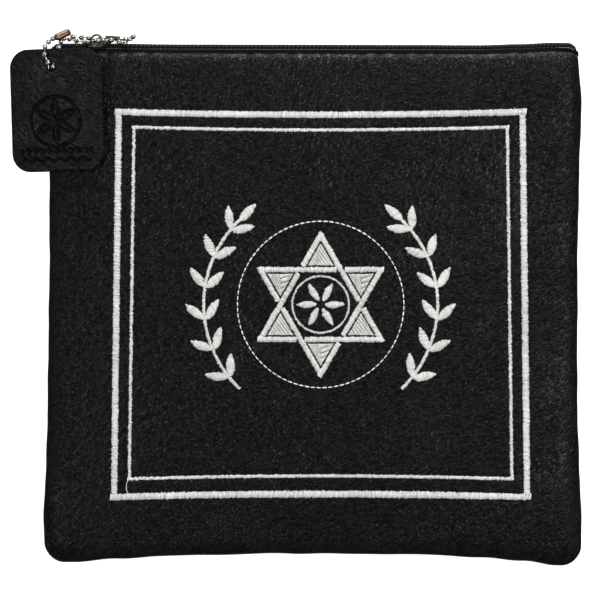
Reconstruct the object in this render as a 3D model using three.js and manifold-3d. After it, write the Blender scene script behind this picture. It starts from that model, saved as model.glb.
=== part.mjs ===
// A flat square zip pouch of soft leather, lying on its back, with a ball chain and a leather fob at its
// top left corner. Millimetres. +Z is up, away from the surface that it lies on. +Y points to the zip.
// The origin is the middle of the flat back, on that surface.
import * as THREE from 'three';
import { mergeVertices } from 'three/addons/utils/BufferGeometryUtils.js';
import Module from 'manifold-3d';

const wasm = await Module();
wasm.setup();

// Driving dimensions of the bag
const BAG_WIDTH = 240;
const PANEL_HEIGHT = 227;
const SEAM_HEIGHT = 7;
const FRONT_RISE = 7;
const DOME = 4;
const LEATHER = 1.8;
const ROLL_DEPTH = 9.5;
const FOLD_ROLL = 2;
const FOLD_HEIGHT = 2.4;
const PINCH_LENGTH = 9;
const LOW_CORNER = 9;
const HIGH_CORNER = 3;
const SIDE_WAIST = 2.7;
const BOTTOM_SAG = 5.3;
const TOP_WAVE = 1.3;
const GAP = 0.3;

// Driving dimensions of the zip
const ZIP_STAND = 4.8;
const COIL_WIDTH = 4.4;
const COIL_THICKNESS = 1.8;
const TOOTH_PITCH = 1.85;
const TOOTH_DEPTH = 0.45;
const COIL_END = 1.6;
const COIL_DROP = 3.2;
const TAPE = 0.8;
const TAPE_HOLD = 7;
const TAPE_END = 6;
const SLIDER_FROM_SIDE = 23.7;
const SLIDER_LENGTH = 10.4;
const SLIDER_WIDTH = 7.6;
const SLIDER_PLATE = 1;
const INNER_PLATE_WIDTH = 4.4;
const FLANGE = 0.9;
const POST_WIDTH = 1.6;
const POST_LENGTH = 3;
const CROWN_LENGTH = 6.2;
const CROWN_HEIGHT = 3.8;
const CROWN_WIDTH = 2;
const CROWN_WIRE = 0.9;

// Driving dimensions of the puller, the ball chain and the fob
const PULLER_WIDTH = 5.6;
const PULLER_LENGTH = 15.6;
const PULLER_BODY = 6.6;
const PULLER_THICKNESS = 1.9;
const PULLER_WIRE = 0.6;
const PULLER_SLOPE = 4;
const PIN_HEIGHT = 1.6;
const PIN_SHIFT = 0.6;
const BEAD = 2.4;
const BEAD_PITCH = 3.7;
const LINK = 0.62;
const CONNECTOR_LENGTH = 7.4;
const CONNECTOR_WALL = 0.35;
const CONNECTOR_SLOT = 90;
const RING_SIDES = 10;
const FOB_WIDTH = 41.9;
const FOB_HEIGHT = 54.6;
const FOB_THICKNESS = 2.8;
const FOB_CORNER = 8.6;
const FOB_HOLE = 4.6;
const FOB_HOLE_DROP = 8;
const FOB_HOLE_SHIFT = -1.5;
const FOB_OVERHANG = 14.4;
const FOB_BELOW_COIL = 1.7;
const FOB_TURN = 1.6;
const FOB_LEAN = 13.5;
const FOB_BEND = 21;
const FOB_LIFT = 3.4;

// Driving dimensions of the embroidery
const THREAD = 0.7;
const STITCH_LIFT = 0.45;
const FRAME_TOP_WIDTH = 182.8;
const FRAME_LOW_WIDTH = 186.9;
const FRAME_HEIGHT = 174.5;
const FRAME_SHIFT_X = 3.6;
const FRAME_SHIFT_Y = 2.8;
const FRAME_SAG = 1.3;
const FRAME_BAND = 3.1;
const INNER_BAND = 1.5;
const INNER_INSET = 7.6;
const INNER_LOW_INSET = 8.9;
const STAR_RADIUS = 31;
const STAR_BAND = 2.6;
const BRANCH_RADIUS = 52;
const BRANCH_TURN = 46;
const STEM_WIDTH = 1.5;
const LEAF_PAIRS = 6;
const LEAF_LENGTH = 10.2;
const LEAF_WIDTH = 4.4;
const LEAF_LEAN = 42;

// Waist of the two sides: at is the height from -1, the lowest corner, to 1, the fold; left and right are
// shares of SIDE_WAIST
const SIDE_TABLE = [
  { at: -1, left: 0.3, right: 0.1 },
  { at: -0.82, left: 0, right: 0 },
  { at: -0.6, left: 0.45, right: 0.4 },
  { at: -0.35, left: 0.72, right: 0.7 },
  { at: 0.25, left: 1, right: 0.65 },
  { at: 0.55, left: 1, right: 0.35 },
  { at: 0.83, left: 0.7, right: 0 },
  { at: 1, left: 0.95, right: 0.57 },
];

// Lower and upper edge: at is the place from -1, left, to 1, right; low is a share of BOTTOM_SAG, high of
// TOP_WAVE
const EDGE_TABLE = [
  { at: -1, low: 0.3, high: 0.35 },
  { at: -0.88, low: 0.28, high: 0.35 },
  { at: -0.72, low: 0.58, high: 0.3 },
  { at: -0.5, low: 0.83, high: 0.07 },
  { at: -0.1, low: 1, high: 0 },
  { at: 0.4, low: 0.92, high: -0.1 },
  { at: 0.62, low: 0.67, high: -0.2 },
  { at: 0.78, low: 0.4, high: 0.2 },
  { at: 0.9, low: 0, high: 0.67 },
  { at: 1, low: 0, high: 0.6 },
];

// Soft swells and dents of the front: place and reach as shares of the half sizes, lift as a share of DOME
const FACE_FORMS = [
  { x: -0.8, y: -0.8, reachX: 0.2, reachY: 0.2, lift: 0.28 },
  { x: 0.82, y: -0.82, reachX: 0.2, reachY: 0.18, lift: 0.34 },
  { x: 0.84, y: 0.78, reachX: 0.18, reachY: 0.2, lift: 0.22 },
  { x: 0, y: 0.97, reachX: 0.6, reachY: 0.16, lift: -0.22 },
  { x: 0.05, y: -0.9, reachX: 0.5, reachY: 0.14, lift: -0.3 },
  { x: -0.92, y: 0.1, reachX: 0.12, reachY: 0.45, lift: -0.14 },
  { x: 0.93, y: -0.05, reachX: 0.12, reachY: 0.5, lift: -0.16 },
];

// Leaf of the branches: at is a share of its length from its root on the stem, wide a share of its width
const LEAF_STEPS = [
  { at: -0.06, wide: 0.3 },
  { at: 0.45, wide: 1 },
  { at: 1, wide: 0 },
];

// Sections of the chain's connector: at is a share of its length from its middle, radius a share of its bore
const CONNECTOR_STEPS = [
  { at: -0.5, radius: 0.72 },
  { at: -0.38, radius: 1 },
  { at: 0.38, radius: 1 },
  { at: 0.5, radius: 0.72 },
];

// Steps of a panel's sections: shares of its roll, then shares of the way from the middle to the roll's end
const ROLL_STEPS = [0, 0.1, 0.32, 0.62, 1];
const FACE_STEPS = [0.85, 0.66, 0.45, 0.22];
const INSIDE_ROLL_STEPS = [0, 0.32, 1];
const RUN_STEPS = [0, 0.02, 0.06, 0.13, 0.24, 0.37, 0.5, 0.63, 0.76, 0.87, 0.94, 0.98, 1];
const ARC_PARTS = 4;

// Steps of the smaller pieces: shares of a bead's turn and of the way from the fob's hole to its edge
const BEAD_STEPS = [0, 0.24, 0.5, 0.76, 1];
const FOB_STEPS = [0, 0.25, 0.6, 1];
const FOB_POINTS = 40;
const SEAT_ROWS = 50;
const SEAT_COLUMNS = 10;
const FRAME_PARTS = 9;
const CONNECTOR_PARTS = 12;
const CROWN_PARTS = 10;
const CORNER_PARTS = 3;
const STEM_PARTS = 10;
const ROUTE_DIVISIONS = 400;

// Shares and powers that shape the curves
const EDGE_POWER = 4;
const DOME_POWER = 0.8;
const PINCH_START = 1;
const CORNER_LEFT = 0.25;
const PLATE_CORNER = 0.25;
const FLANGE_SHARE = 0.7;
const BODY_RISE = 0.25;
const LEAF_SPREAD = 0.85;
const STAR_TURN = 90;
const STAR_CORNERS = 3;
const CUT_OVER = 4;
const MERGE_REACH = 1e-5;

// Route of the ball chain, each point as its distances from CORNER along the zip, past it, and up from the
// seam. The up strand goes from the fob's hole to the connector, the near strand on to the puller's eye, and
// the far strand back along the surface and under the fob.
const UP_ROUTE = [[4.7, -9.8, 11.3], [2.6, -8, 14.1], [1.1, -4.8, 14.2], [1.1, -1.1, 13.3],
  [2.7, 1.3, 10.4], [4.6, 2.9, 7.2], [7.2, 3.8, 5]];
const NEAR_ROUTE = [[10.1, 5.2, 3.6], [12.5, 4.2, 2.5], [15.9, 3.6, 2.3], [19.6, 3.4, 3.9],
  [22.4, 2.4, 5.8], [25.6, 2.1, 7], [28.4, 2.5, 7.4], [31.4, 1.9, 7],
  [34.2, 1.2, 6.4], [36.5, 0.9, 3.9], [36.9, 2.25, 0.4]];
const FAR_ROUTE = [[36.9, 2.25, 0.4], [40.3, 4.2, -0.4], [39.4, 3.8, -4], [35.4, 3, -5.7], [31, 2.4, -5.8],
  [24, 1.8, -5.8], [17, 2, -5.6], [13, 2.6, -4.2], [9.9, 3.3, -1.3], [8.2, 2.5, 2.1],
  [7.2, -0.6, 4.9], [6.4, -4.2, 6.8], [5.6, -7.4, 8], [4.7, -9.8, 11.3]];

// Values worked out from the driving dimensions
const HALF_W = BAG_WIDTH / 2;
const HALF_H = PANEL_HEIGHT / 2;
const CORNER = new THREE.Vector3(-HALF_W, HALF_H + ZIP_STAND, SEAM_HEIGHT);
const SLIDER_X = -HALF_W + SLIDER_FROM_SIDE;
const POST_ROOM = POST_WIDTH / 2 + GAP;
const DROP_RUN = 2 * COIL_END + COIL_DROP;

const leather = { color: 0x17171a, roughness: 0.55, metalness: 0 };
const thread = { color: 0xdbd8d3, roughness: 0.6, metalness: 0 };
const tapeCloth = { color: 0x141416, roughness: 0.85, metalness: 0 };
const coilPlastic = { color: 0x1b1b1d, roughness: 0.4, metalness: 0 };
const darkMetal = { color: 0x4a4845, roughness: 0.3, metalness: 1 };
const bronze = { color: 0x8c7666, roughness: 0.35, metalness: 1 };

// Smooth value of one column of a table at a place
function alongTable(table, column, place) {
  let row = 0;
  while (row < table.length - 2 && table[row + 1].at < place) row += 1;
  const low = table[row];
  const high = table[row + 1];
  const share = THREE.MathUtils.clamp((place - low.at) / (high.at - low.at), 0, 1);
  return THREE.MathUtils.lerp(low[column], high[column], THREE.MathUtils.smoothstep(share, 0, 1));
}

// How far the top edge stands above its usual line, at an x
function topWave(x) {
  return TOP_WAVE * alongTable(EDGE_TABLE, 'high', x / HALF_W);
}

// The bag's plan: takes a place in the plain rectangle to its place in the soft outline
function bend(x, y) {
  const u = THREE.MathUtils.clamp(x / HALF_W, -1, 1);
  const v = THREE.MathUtils.clamp(y / HALF_H, -1, 1);
  const waist = SIDE_WAIST * alongTable(SIDE_TABLE, u < 0 ? 'left' : 'right', v);
  const pull = v < 0 ? BOTTOM_SAG * alongTable(EDGE_TABLE, 'low', u) : topWave(x);
  return [x - Math.sign(u) * waist * Math.abs(u) ** EDGE_POWER, y + pull * Math.abs(v) ** EDGE_POWER];
}

// Height that the soft face adds above the level of its edge
function faceLift(x, y) {
  const u = x / HALF_W;
  const v = y / HALF_H;
  const dome = Math.max(0, 1 - u * u) * Math.max(0, 1 - v * v);
  const forms = FACE_FORMS.map((form) => {
    const away = ((u - form.x) / form.reachX) ** 2 + ((v - form.y) / form.reachY) ** 2;
    return form.lift * Math.exp(-away);
  });
  return DOME * (dome ** DOME_POWER + forms.reduce((sum, lift) => sum + lift, 0));
}

// Quarter-round rise of a rolled edge, from 0 at the rim to 1 at the end of the roll
function rollShare(share) {
  return Math.sqrt(1 - (1 - Math.min(1, share)) ** 2);
}

// How far the folded top edge is open at an x: 0 at the side seams, 1 past the pinch
function openShare(x) {
  return THREE.MathUtils.smoothstep(HALF_W - Math.abs(x), PINCH_START, PINCH_LENGTH);
}

// Closed skin through rings of equal count, the first and the last ring closed by fans round a point
function skin(rings, flip) {
  const count = rings[0].length;
  const points = rings.flat();
  const faces = [];
  rings.slice(1).forEach((ring, step) => {
    for (let i = 0; i < count; i += 1) {
      const next = (i + 1) % count;
      const [a, b] = [step * count + i, step * count + next];
      const [c, d] = [a + count, b + count];
      faces.push([a, b, d], [a, d, c]);
    }
  });
  [0, rings.length - 1].forEach((end) => {
    const middle = points.push(centreOf(rings[end])) - 1;
    for (let i = 0; i < count; i += 1) {
      const [a, b] = [end * count + i, end * count + ((i + 1) % count)];
      faces.push(end ? [a, b, middle] : [b, a, middle]);
    }
  });
  return solid(points, flip ? faces.map(([a, b, c]) => [a, c, b]) : faces);
}

// Skin of rings that come back to the first, or of a bar whose last ring meets its first
function loopSkin(rings, flip = false) {
  const count = rings[0].length;
  const faces = [];
  rings.forEach((ring, step) => {
    const ahead = ((step + 1) % rings.length) * count;
    for (let i = 0; i < count; i += 1) {
      const next = (i + 1) % count;
      const [a, b] = [step * count + i, step * count + next];
      faces.push([a, b, ahead + next], [a, ahead + next, ahead + i]);
    }
  });
  return solid(rings.flat(), flip ? faces.map(([a, b, c]) => [a, c, b]) : faces);
}

function centreOf(ring) {
  const sum = ring.reduce((all, point) => all.map((value, axis) => value + point[axis]), [0, 0, 0]);
  return sum.map((value) => value / ring.length);
}

function solid(points, faces) {
  const geometry = new THREE.BufferGeometry();
  geometry.setAttribute('position', new THREE.Float32BufferAttribute(points.flat(), 3));
  geometry.setIndex(faces.flat());
  return geometry;
}

// One loop round a panel, counter-clockwise from the lower left, with arcs at its corners
function panelLoop(side, top, lowRadius, highRadius) {
  const corners = [
    { x: HALF_W - side, y: side - HALF_H, radius: lowRadius, turn: -90 },
    { x: HALF_W - side, y: HALF_H - top, radius: highRadius, turn: 0 },
    { x: side - HALF_W, y: HALF_H - top, radius: highRadius, turn: 90 },
    { x: side - HALF_W, y: side - HALF_H, radius: lowRadius, turn: 180 },
  ];
  const arcs = corners.map(({ x, y, radius, turn }) => {
    const middle = [x - Math.sign(x) * radius, y - Math.sign(y) * radius];
    return Array.from({ length: ARC_PARTS + 1 }, (_, part) => {
      const angle = THREE.MathUtils.degToRad(turn + (90 * part) / ARC_PARTS);
      return [middle[0] + radius * Math.cos(angle), middle[1] + radius * Math.sin(angle)];
    });
  });
  return arcs.flatMap((arc, corner) => {
    const from = arcs[(corner + 3) % 4][ARC_PARTS];
    const to = arc[0];
    const run = RUN_STEPS.slice(1, -1).map((share) => (
      [THREE.MathUtils.lerp(from[0], to[0], share), THREE.MathUtils.lerp(from[1], to[1], share)]
    ));
    return [...run, ...arc];
  });
}

// Rings of one face of a panel, from its rim to its middle; inward is 0 outside and LEATHER inside
function panelRings(side, rise, lift, inward, rollSteps, faceSteps) {
  const rim = panelLoop(0, 0, LOW_CORNER, HIGH_CORNER);
  const rollEnd = panelLoop(ROLL_DEPTH, FOLD_ROLL, CORNER_LEFT * LOW_CORNER, CORNER_LEFT * HIGH_CORNER);
  const crest = rollEnd.map(([x, y]) => rise + lift(x, y));
  const root = rim.map(([x, y], i) => {
    const onTop = y > HALF_H - HIGH_CORNER ? openShare(x) : 0;
    return THREE.MathUtils.lerp(GAP / 2, crest[i] - FOLD_HEIGHT, onTop);
  });
  const rolled = rollSteps.map((share) => {
    const sideInset = inward + (ROLL_DEPTH - inward) * share;
    const topInset = inward + Math.max(0, FOLD_ROLL - inward) * share;
    const shrink = Math.max(CORNER_LEFT, 1 - sideInset / ROLL_DEPTH);
    const loop = panelLoop(sideInset, topInset, LOW_CORNER * shrink, HIGH_CORNER * shrink);
    return loop.map(([x, y], i) => {
      const height = THREE.MathUtils.lerp(root[i], crest[i] - inward, rollShare(share));
      return [...bend(x, y), SEAM_HEIGHT + side * height];
    });
  });
  const face = faceSteps.map((share) => rollEnd.map(([x, y]) => {
    const height = rise + lift(x * share, y * share) - inward;
    return [...bend(x * share, y * share), SEAM_HEIGHT + side * height];
  }));
  return [...rolled, ...face];
}

function panel(side, rise, lift, faceSteps) {
  const outside = panelRings(side, rise, lift, 0, ROLL_STEPS, faceSteps);
  const inside = panelRings(side, rise, lift, LEATHER, INSIDE_ROLL_STEPS, faceSteps.slice(1, 2));
  return skin([...inside.reverse(), ...outside], side < 0);
}

function frontPanel() {
  return panel(1, FRONT_RISE, faceLift, FACE_STEPS);
}

function backPanel() {
  return panel(-1, SEAM_HEIGHT, () => 0, []);
}

// Height of the bag's outside above the seam at a place near the left edge or on the face
function outsideHeight(x, y) {
  const u = THREE.MathUtils.clamp(x / HALF_W, -1, 1);
  const v = THREE.MathUtils.clamp(y / HALF_H, -1, 1);
  const waist = SIDE_WAIST * alongTable(SIDE_TABLE, u < 0 ? 'left' : 'right', v);
  const inset = HALF_W - waist - Math.abs(x);
  return inset < 0 ? 0 : (FRONT_RISE + faceLift(x, y)) * rollShare(inset / ROLL_DEPTH);
}

// Line of the fold that the zip stands on, and how far the zip's end turns down at an x
function foldLine(x) {
  return HALF_H + topWave(x);
}

function endDrop(x) {
  const past = Math.abs(x) - (HALF_W - COIL_END - DROP_RUN);
  return COIL_DROP * THREE.MathUtils.clamp(past / DROP_RUN, 0, 1) ** 2;
}

// Places along the top edge where the panels' rims have their corners
function topStations() {
  const reach = HALF_W - HIGH_CORNER;
  return RUN_STEPS.map((share) => THREE.MathUtils.lerp(-reach, reach, share));
}

// Underside of the folded edge above or below the seam, at an x, straight between the rims' corners
function foldRoot(side, x) {
  const stations = topStations();
  const after = Math.max(1, stations.findIndex((station) => station >= x));
  const [from, to] = [stations[after - 1], stations[after]];
  const rootAt = (place) => {
    const crest = side > 0 ? FRONT_RISE + faceLift(place, HALF_H - FOLD_ROLL) : SEAM_HEIGHT;
    return THREE.MathUtils.lerp(GAP / 2, crest - FOLD_HEIGHT, openShare(place));
  };
  return THREE.MathUtils.lerp(rootAt(from), rootAt(to), (x - from) / (to - from));
}

// Tape: a thin strip from inside the bag, under the fold, up to the side of the coil
function tapeSection(side, x) {
  const coilFoot = foldLine(x) + ZIP_STAND - endDrop(x) - COIL_THICKNESS - 2 * GAP - TAPE / 2;
  const outward = Math.sign(x) * Math.min(Math.abs(x) + LEATHER, HALF_W - HIGH_CORNER);
  const under = foldRoot(side, outward) - GAP - TAPE / 2;
  const path = [
    [coilFoot, POST_ROOM],
    [coilFoot, Math.max(POST_ROOM + TAPE / 2, Math.min(COIL_WIDTH / 2 + GAP, under - TAPE / 2))],
    [foldLine(x) + GAP, under],
    [foldLine(x) - TAPE_HOLD, under],
  ];
  const faceA = path.map((point, i) => offsetPoint(path, i, TAPE / 2));
  const faceB = path.map((point, i) => offsetPoint(path, i, -TAPE / 2)).reverse();
  return [...faceA, ...faceB].map(([y, z]) => [bend(x, HALF_H)[0], y, SEAM_HEIGHT + side * z]);
}

// A path's point moved sideways by a distance, square to the mean of its two runs
function offsetPoint(path, i, away) {
  const before = path[Math.max(0, i - 1)];
  const after = path[Math.min(path.length - 1, i + 1)];
  const [along, across] = [after[0] - before[0], after[1] - before[1]];
  const length = Math.hypot(along, across);
  return [path[i][0] - (across / length) * away, path[i][1] + (along / length) * away];
}

function zipTape(side) {
  const reach = HALF_W - TAPE_END;
  const stations = [-reach, ...topStations().slice(1, -1), reach];
  return skin(stations.map((x) => tapeSection(side, x)), side > 0);
}

// Coil: a bar whose outer edge rises and falls once for each tooth
function zipCoil() {
  const reach = HALF_W - COIL_END;
  const teeth = Math.round((2 * reach) / TOOTH_PITCH);
  const rings = Array.from({ length: 2 * teeth + 1 }, (_, i) => {
    const x = THREE.MathUtils.lerp(-reach, reach, i / (2 * teeth));
    const notch = i % 2 ? 0 : TOOTH_DEPTH;
    const top = foldLine(x) + ZIP_STAND - endDrop(x);
    const half = COIL_WIDTH / 2 - notch / 2;
    const low = top - COIL_THICKNESS;
    return [[top - notch, half], [top - notch, -half], [low, -half], [low, half]]
      .map(([y, z]) => [bend(x, HALF_H)[0], y, SEAM_HEIGHT + z]);
  });
  const bar = asManifold(skin(rings, true));
  const room = boxSolid(POST_LENGTH + 2 * GAP, CUT_OVER * COIL_THICKNESS, POST_WIDTH + 2 * GAP);
  return asGeometry(bar.subtract(room.translate([SLIDER_X, foldLine(SLIDER_X) + ZIP_STAND, SEAM_HEIGHT])));
}

function asManifold(geometry) {
  const bare = geometry.clone();
  bare.deleteAttribute('normal');
  bare.deleteAttribute('uv');
  const merged = mergeVertices(bare, MERGE_REACH);
  const mesh = new wasm.Mesh({
    numProp: 3,
    vertProperties: new Float32Array(merged.attributes.position.array),
    triVerts: new Uint32Array(merged.index.array),
  });
  return new wasm.Manifold(mesh);
}

function asGeometry(manifold) {
  const mesh = manifold.getMesh();
  const geometry = new THREE.BufferGeometry();
  geometry.setAttribute('position', new THREE.Float32BufferAttribute(mesh.vertProperties, mesh.numProp));
  geometry.setIndex([...mesh.triVerts]);
  return geometry;
}

function boxSolid(x, y, z) {
  return asManifold(new THREE.BoxGeometry(x, y, z));
}

// A plate cut from an outline in x and z, thick along y
function plateSolid(length, width, thickness, corner) {
  const shape = roundedShape(length, width, corner);
  const geometry = flatPiece(shape, thickness, CORNER_PARTS);
  geometry.translate(0, 0, -thickness / 2);
  geometry.rotateX(Math.PI / 2);
  return asManifold(geometry);
}

function flatPiece(shape, depth, curveSegments) {
  return new THREE.ExtrudeGeometry(shape, { depth, curveSegments, bevelEnabled: false });
}

function roundedShape(length, width, corner) {
  const [x, y] = [length / 2, width / 2];
  const shape = new THREE.Shape();
  shape.moveTo(-x + corner, -y);
  shape.lineTo(x - corner, -y);
  shape.absarc(x - corner, -y + corner, corner, -Math.PI / 2, 0);
  shape.lineTo(x, y - corner);
  shape.absarc(x - corner, y - corner, corner, 0, Math.PI / 2);
  shape.lineTo(-x + corner, y);
  shape.absarc(-x + corner, y - corner, corner, Math.PI / 2, Math.PI);
  shape.lineTo(-x, -y + corner);
  shape.absarc(-x + corner, -y + corner, corner, Math.PI, 1.5 * Math.PI);
  return shape;
}

// Crown of the slider: an arched strap over the outer plate, standing in the x and y plane
function crownSolid(base) {
  const shape = new THREE.Shape();
  shape.absellipse(0, 0, CROWN_LENGTH / 2, CROWN_HEIGHT, 0, Math.PI);
  shape.lineTo(-CROWN_LENGTH / 2 + CROWN_WIRE, 0);
  shape.absellipse(0, 0, CROWN_LENGTH / 2 - CROWN_WIRE, CROWN_HEIGHT - CROWN_WIRE, Math.PI, 0, true);
  const geometry = flatPiece(shape, CROWN_WIDTH, CROWN_PARTS);
  geometry.translate(0, base - GAP, -CROWN_WIDTH / 2);
  return asManifold(geometry);
}

function sliderBase() {
  return foldLine(SLIDER_X) + ZIP_STAND + GAP;
}

function zipSlider() {
  const base = sliderBase();
  const low = base - 4 * GAP - COIL_THICKNESS - TAPE - SLIDER_PLATE / 2;
  const outer = plateSolid(SLIDER_LENGTH, SLIDER_WIDTH, SLIDER_PLATE, PLATE_CORNER * SLIDER_WIDTH);
  const innerCorner = PLATE_CORNER * INNER_PLATE_WIDTH;
  const inner = plateSolid(SLIDER_LENGTH, INNER_PLATE_WIDTH, SLIDER_PLATE, innerCorner);
  const postHeight = base - low;
  const flangeHeight = COIL_THICKNESS;
  const flange = boxSolid(FLANGE_SHARE * SLIDER_LENGTH, flangeHeight, FLANGE);
  const flangeZ = (SLIDER_WIDTH - FLANGE) / 2;
  const body = outer.translate([0, base + SLIDER_PLATE / 2, 0])
    .add(inner.translate([0, low, 0]))
    .add(boxSolid(POST_LENGTH, postHeight, POST_WIDTH).translate([0, low + postHeight / 2, 0]))
    .add(flange.translate([0, base - flangeHeight / 2 + GAP, flangeZ]))
    .add(flange.translate([0, base - flangeHeight / 2 + GAP, -flangeZ]))
    .add(crownSolid(base + SLIDER_PLATE));
  return asGeometry(body.translate([SLIDER_X, 0, SEAM_HEIGHT]));
}

// Puller: a flat bar with a window at its yoke end and an open eye at its far end
function zipPuller() {
  const pinRun = PULLER_WIRE + CROWN_WIRE + 3 * GAP + PULLER_WIRE;
  const eyeRun = PULLER_WIDTH - 2 * PULLER_WIRE;
  const frame = plateSolid(PULLER_LENGTH, PULLER_WIDTH, PULLER_WIRE, PULLER_WIRE);
  const window = boxSolid(pinRun, CUT_OVER * PULLER_WIRE, eyeRun);
  const windowX = -PULLER_LENGTH / 2 + PULLER_WIRE + pinRun / 2;
  const eye = plateSolid(eyeRun, eyeRun, CUT_OVER * PULLER_WIRE, PULLER_WIRE);
  const eyeX = PULLER_LENGTH / 2 - PULLER_WIRE - eyeRun / 2;
  const body = plateSolid(PULLER_BODY, PULLER_WIDTH - PULLER_WIRE, PULLER_THICKNESS, PULLER_WIRE);
  const bodyX = windowX + pinRun / 2 + PULLER_BODY / 2;
  const whole = frame.subtract(window.translate([windowX, 0, 0]))
    .subtract(eye.translate([eyeX, 0, 0]))
    .add(body.translate([bodyX, BODY_RISE * PULLER_THICKNESS, 0]));
  const geometry = asGeometry(whole);
  geometry.translate(PULLER_LENGTH / 2 - PULLER_WIRE / 2, 0, 0);
  geometry.rotateZ(THREE.MathUtils.degToRad(-PULLER_SLOPE));
  const pinX = SLIDER_X + PIN_SHIFT;
  const pinY = sliderBase() + SLIDER_PLATE + PIN_HEIGHT;
  geometry.translate(pinX, pinY, SEAM_HEIGHT);
  return geometry;
}

// Evenly spaced bead centres along one strand of the chain
function beadPlaces(route) {
  const curve = new THREE.CatmullRomCurve3(route.map(([x, y, z]) => new THREE.Vector3(x, y, z).add(CORNER)));
  curve.arcLengthDivisions = ROUTE_DIVISIONS;
  return curve.getSpacedPoints(Math.round(curve.getLength() / BEAD_PITCH));
}

// Ball chain: one skin that swells at each bead and narrows at each link
function ballChain() {
  const up = beadPlaces(UP_ROUTE);
  const near = beadPlaces(NEAR_ROUTE);
  const far = beadPlaces(FAR_ROUTE);
  const centres = [...near, ...far.slice(1, -1), ...up];
  const radius = BEAD / 2;
  const end = Math.asin(LINK / BEAD);
  const turns = BEAD_STEPS.map((share) => THREE.MathUtils.lerp(end, Math.PI - end, share));
  let side = new THREE.Vector3(0, 0, 1);
  const rings = centres.flatMap((centre, i) => {
    const before = centres[Math.max(0, i - 1)];
    const after = centres[Math.min(centres.length - 1, i + 1)];
    const along = after.clone().sub(before).normalize();
    side = side.clone().addScaledVector(along, -side.dot(along)).normalize();
    const across = along.clone().cross(side);
    return turns.map((turn) => beadRing(centre, along, side, across, radius, turn));
  });
  return skin(rings, true);
}

function beadRing(centre, along, side, across, radius, turn) {
  const middle = centre.clone().addScaledVector(along, -radius * Math.cos(turn));
  const out = radius * Math.sin(turn);
  return Array.from({ length: RING_SIDES }, (_, i) => {
    const angle = (2 * Math.PI * i) / RING_SIDES;
    return middle.clone()
      .addScaledVector(side, out * Math.cos(angle))
      .addScaledVector(across, -out * Math.sin(angle))
      .toArray();
  });
}

// Connector: a split sleeve round the chain's two end beads, narrowed at both ends
function chainConnector() {
  const up = beadPlaces(UP_ROUTE);
  const near = beadPlaces(NEAR_ROUTE);
  const from = up[up.length - 1];
  const to = near[0];
  const middle = from.clone().add(to).multiplyScalar(0.5);
  const along = to.clone().sub(from).normalize();
  const side = new THREE.Vector3(0, 1, 0).addScaledVector(along, -along.y).normalize();
  const across = along.clone().cross(side);
  const bore = BEAD / 2 + GAP;
  const half = THREE.MathUtils.degToRad(180 - CONNECTOR_SLOT / 2);
  const arc = Array.from({ length: CONNECTOR_PARTS + 1 }, (_, i) => half * ((2 * i) / CONNECTOR_PARTS - 1));
  const rings = CONNECTOR_STEPS.map(({ at, radius }) => {
    const outside = arc.map((angle) => [radius * bore + CONNECTOR_WALL, angle]);
    const inside = arc.map((angle) => [radius * bore, angle]).reverse();
    return [...outside, ...inside].map(([out, angle]) => middle.clone()
      .addScaledVector(along, at * CONNECTOR_LENGTH)
      .addScaledVector(side, out * Math.cos(angle))
      .addScaledVector(across, out * Math.sin(angle))
      .toArray());
  });
  return sleeveSkin(rings, arc.length);
}

// Skin of C-shaped rings whose two ends are closed by strips between the outer and the inner arc
function sleeveSkin(rings, arcCount) {
  const count = rings[0].length;
  const faces = [];
  rings.slice(1).forEach((ring, step) => {
    for (let i = 0; i < count; i += 1) {
      const next = (i + 1) % count;
      const [a, b] = [step * count + i, step * count + next];
      faces.push([a, b, b + count], [a, b + count, a + count]);
    }
  });
  [0, (rings.length - 1) * count].forEach((start, end) => {
    for (let i = 0; i < arcCount - 1; i += 1) {
      const [a, b] = [start + i, start + i + 1];
      const [c, d] = [start + count - 1 - i, start + count - 2 - i];
      faces.push(...(end ? [[a, b, d], [a, d, c]] : [[a, d, b], [a, c, d]]));
    }
  });
  return solid(rings.flat(), faces);
}

// Fob: a thick leather tag, bent over the bag's rolled side, from its hole's edge to its outline
function fobBend(a, b, height) {
  const lean = THREE.MathUtils.degToRad(FOB_LEAN);
  const curl = THREE.MathUtils.degToRad(FOB_BEND) / FOB_WIDTH;
  const slope = lean - a * curl;
  const run = (Math.sin(lean) - Math.sin(slope)) / curl - height * Math.sin(slope);
  const rise = (Math.cos(slope) - Math.cos(lean)) / curl + height * Math.cos(slope);
  const turn = THREE.MathUtils.degToRad(FOB_TURN);
  const x = run * Math.cos(turn) - b * Math.sin(turn);
  const y = run * Math.sin(turn) + b * Math.cos(turn);
  return [x, y, rise + (FOB_LIFT * (b + FOB_HEIGHT / 2)) / FOB_HEIGHT];
}

function fobOutline(count) {
  const shape = roundedShape(FOB_WIDTH, FOB_HEIGHT, FOB_CORNER);
  return shape.getSpacedPoints(count).slice(0, count).map((point) => [point.x, point.y]);
}

// Height at which the fob's underside rests on the bag, and its place in plan
function fobSeat() {
  const x = -HALF_W - FOB_OVERHANG + FOB_WIDTH / 2;
  const y = CORNER.y - FOB_BELOW_COIL - FOB_HEIGHT / 2;
  let height = 0;
  for (let row = 0; row <= SEAT_ROWS; row += 1) {
    for (let column = 0; column <= SEAT_COLUMNS; column += 1) {
      const [a, b] = [row / SEAT_ROWS - 0.5, column / SEAT_COLUMNS - 0.5];
      const [dx, dy, dz] = fobBend(a * FOB_WIDTH, b * FOB_HEIGHT, 0);
      height = Math.max(height, outsideHeight(x + dx, y + dy) - dz);
    }
  }
  return [x, y, SEAM_HEIGHT + height + GAP];
}

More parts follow.
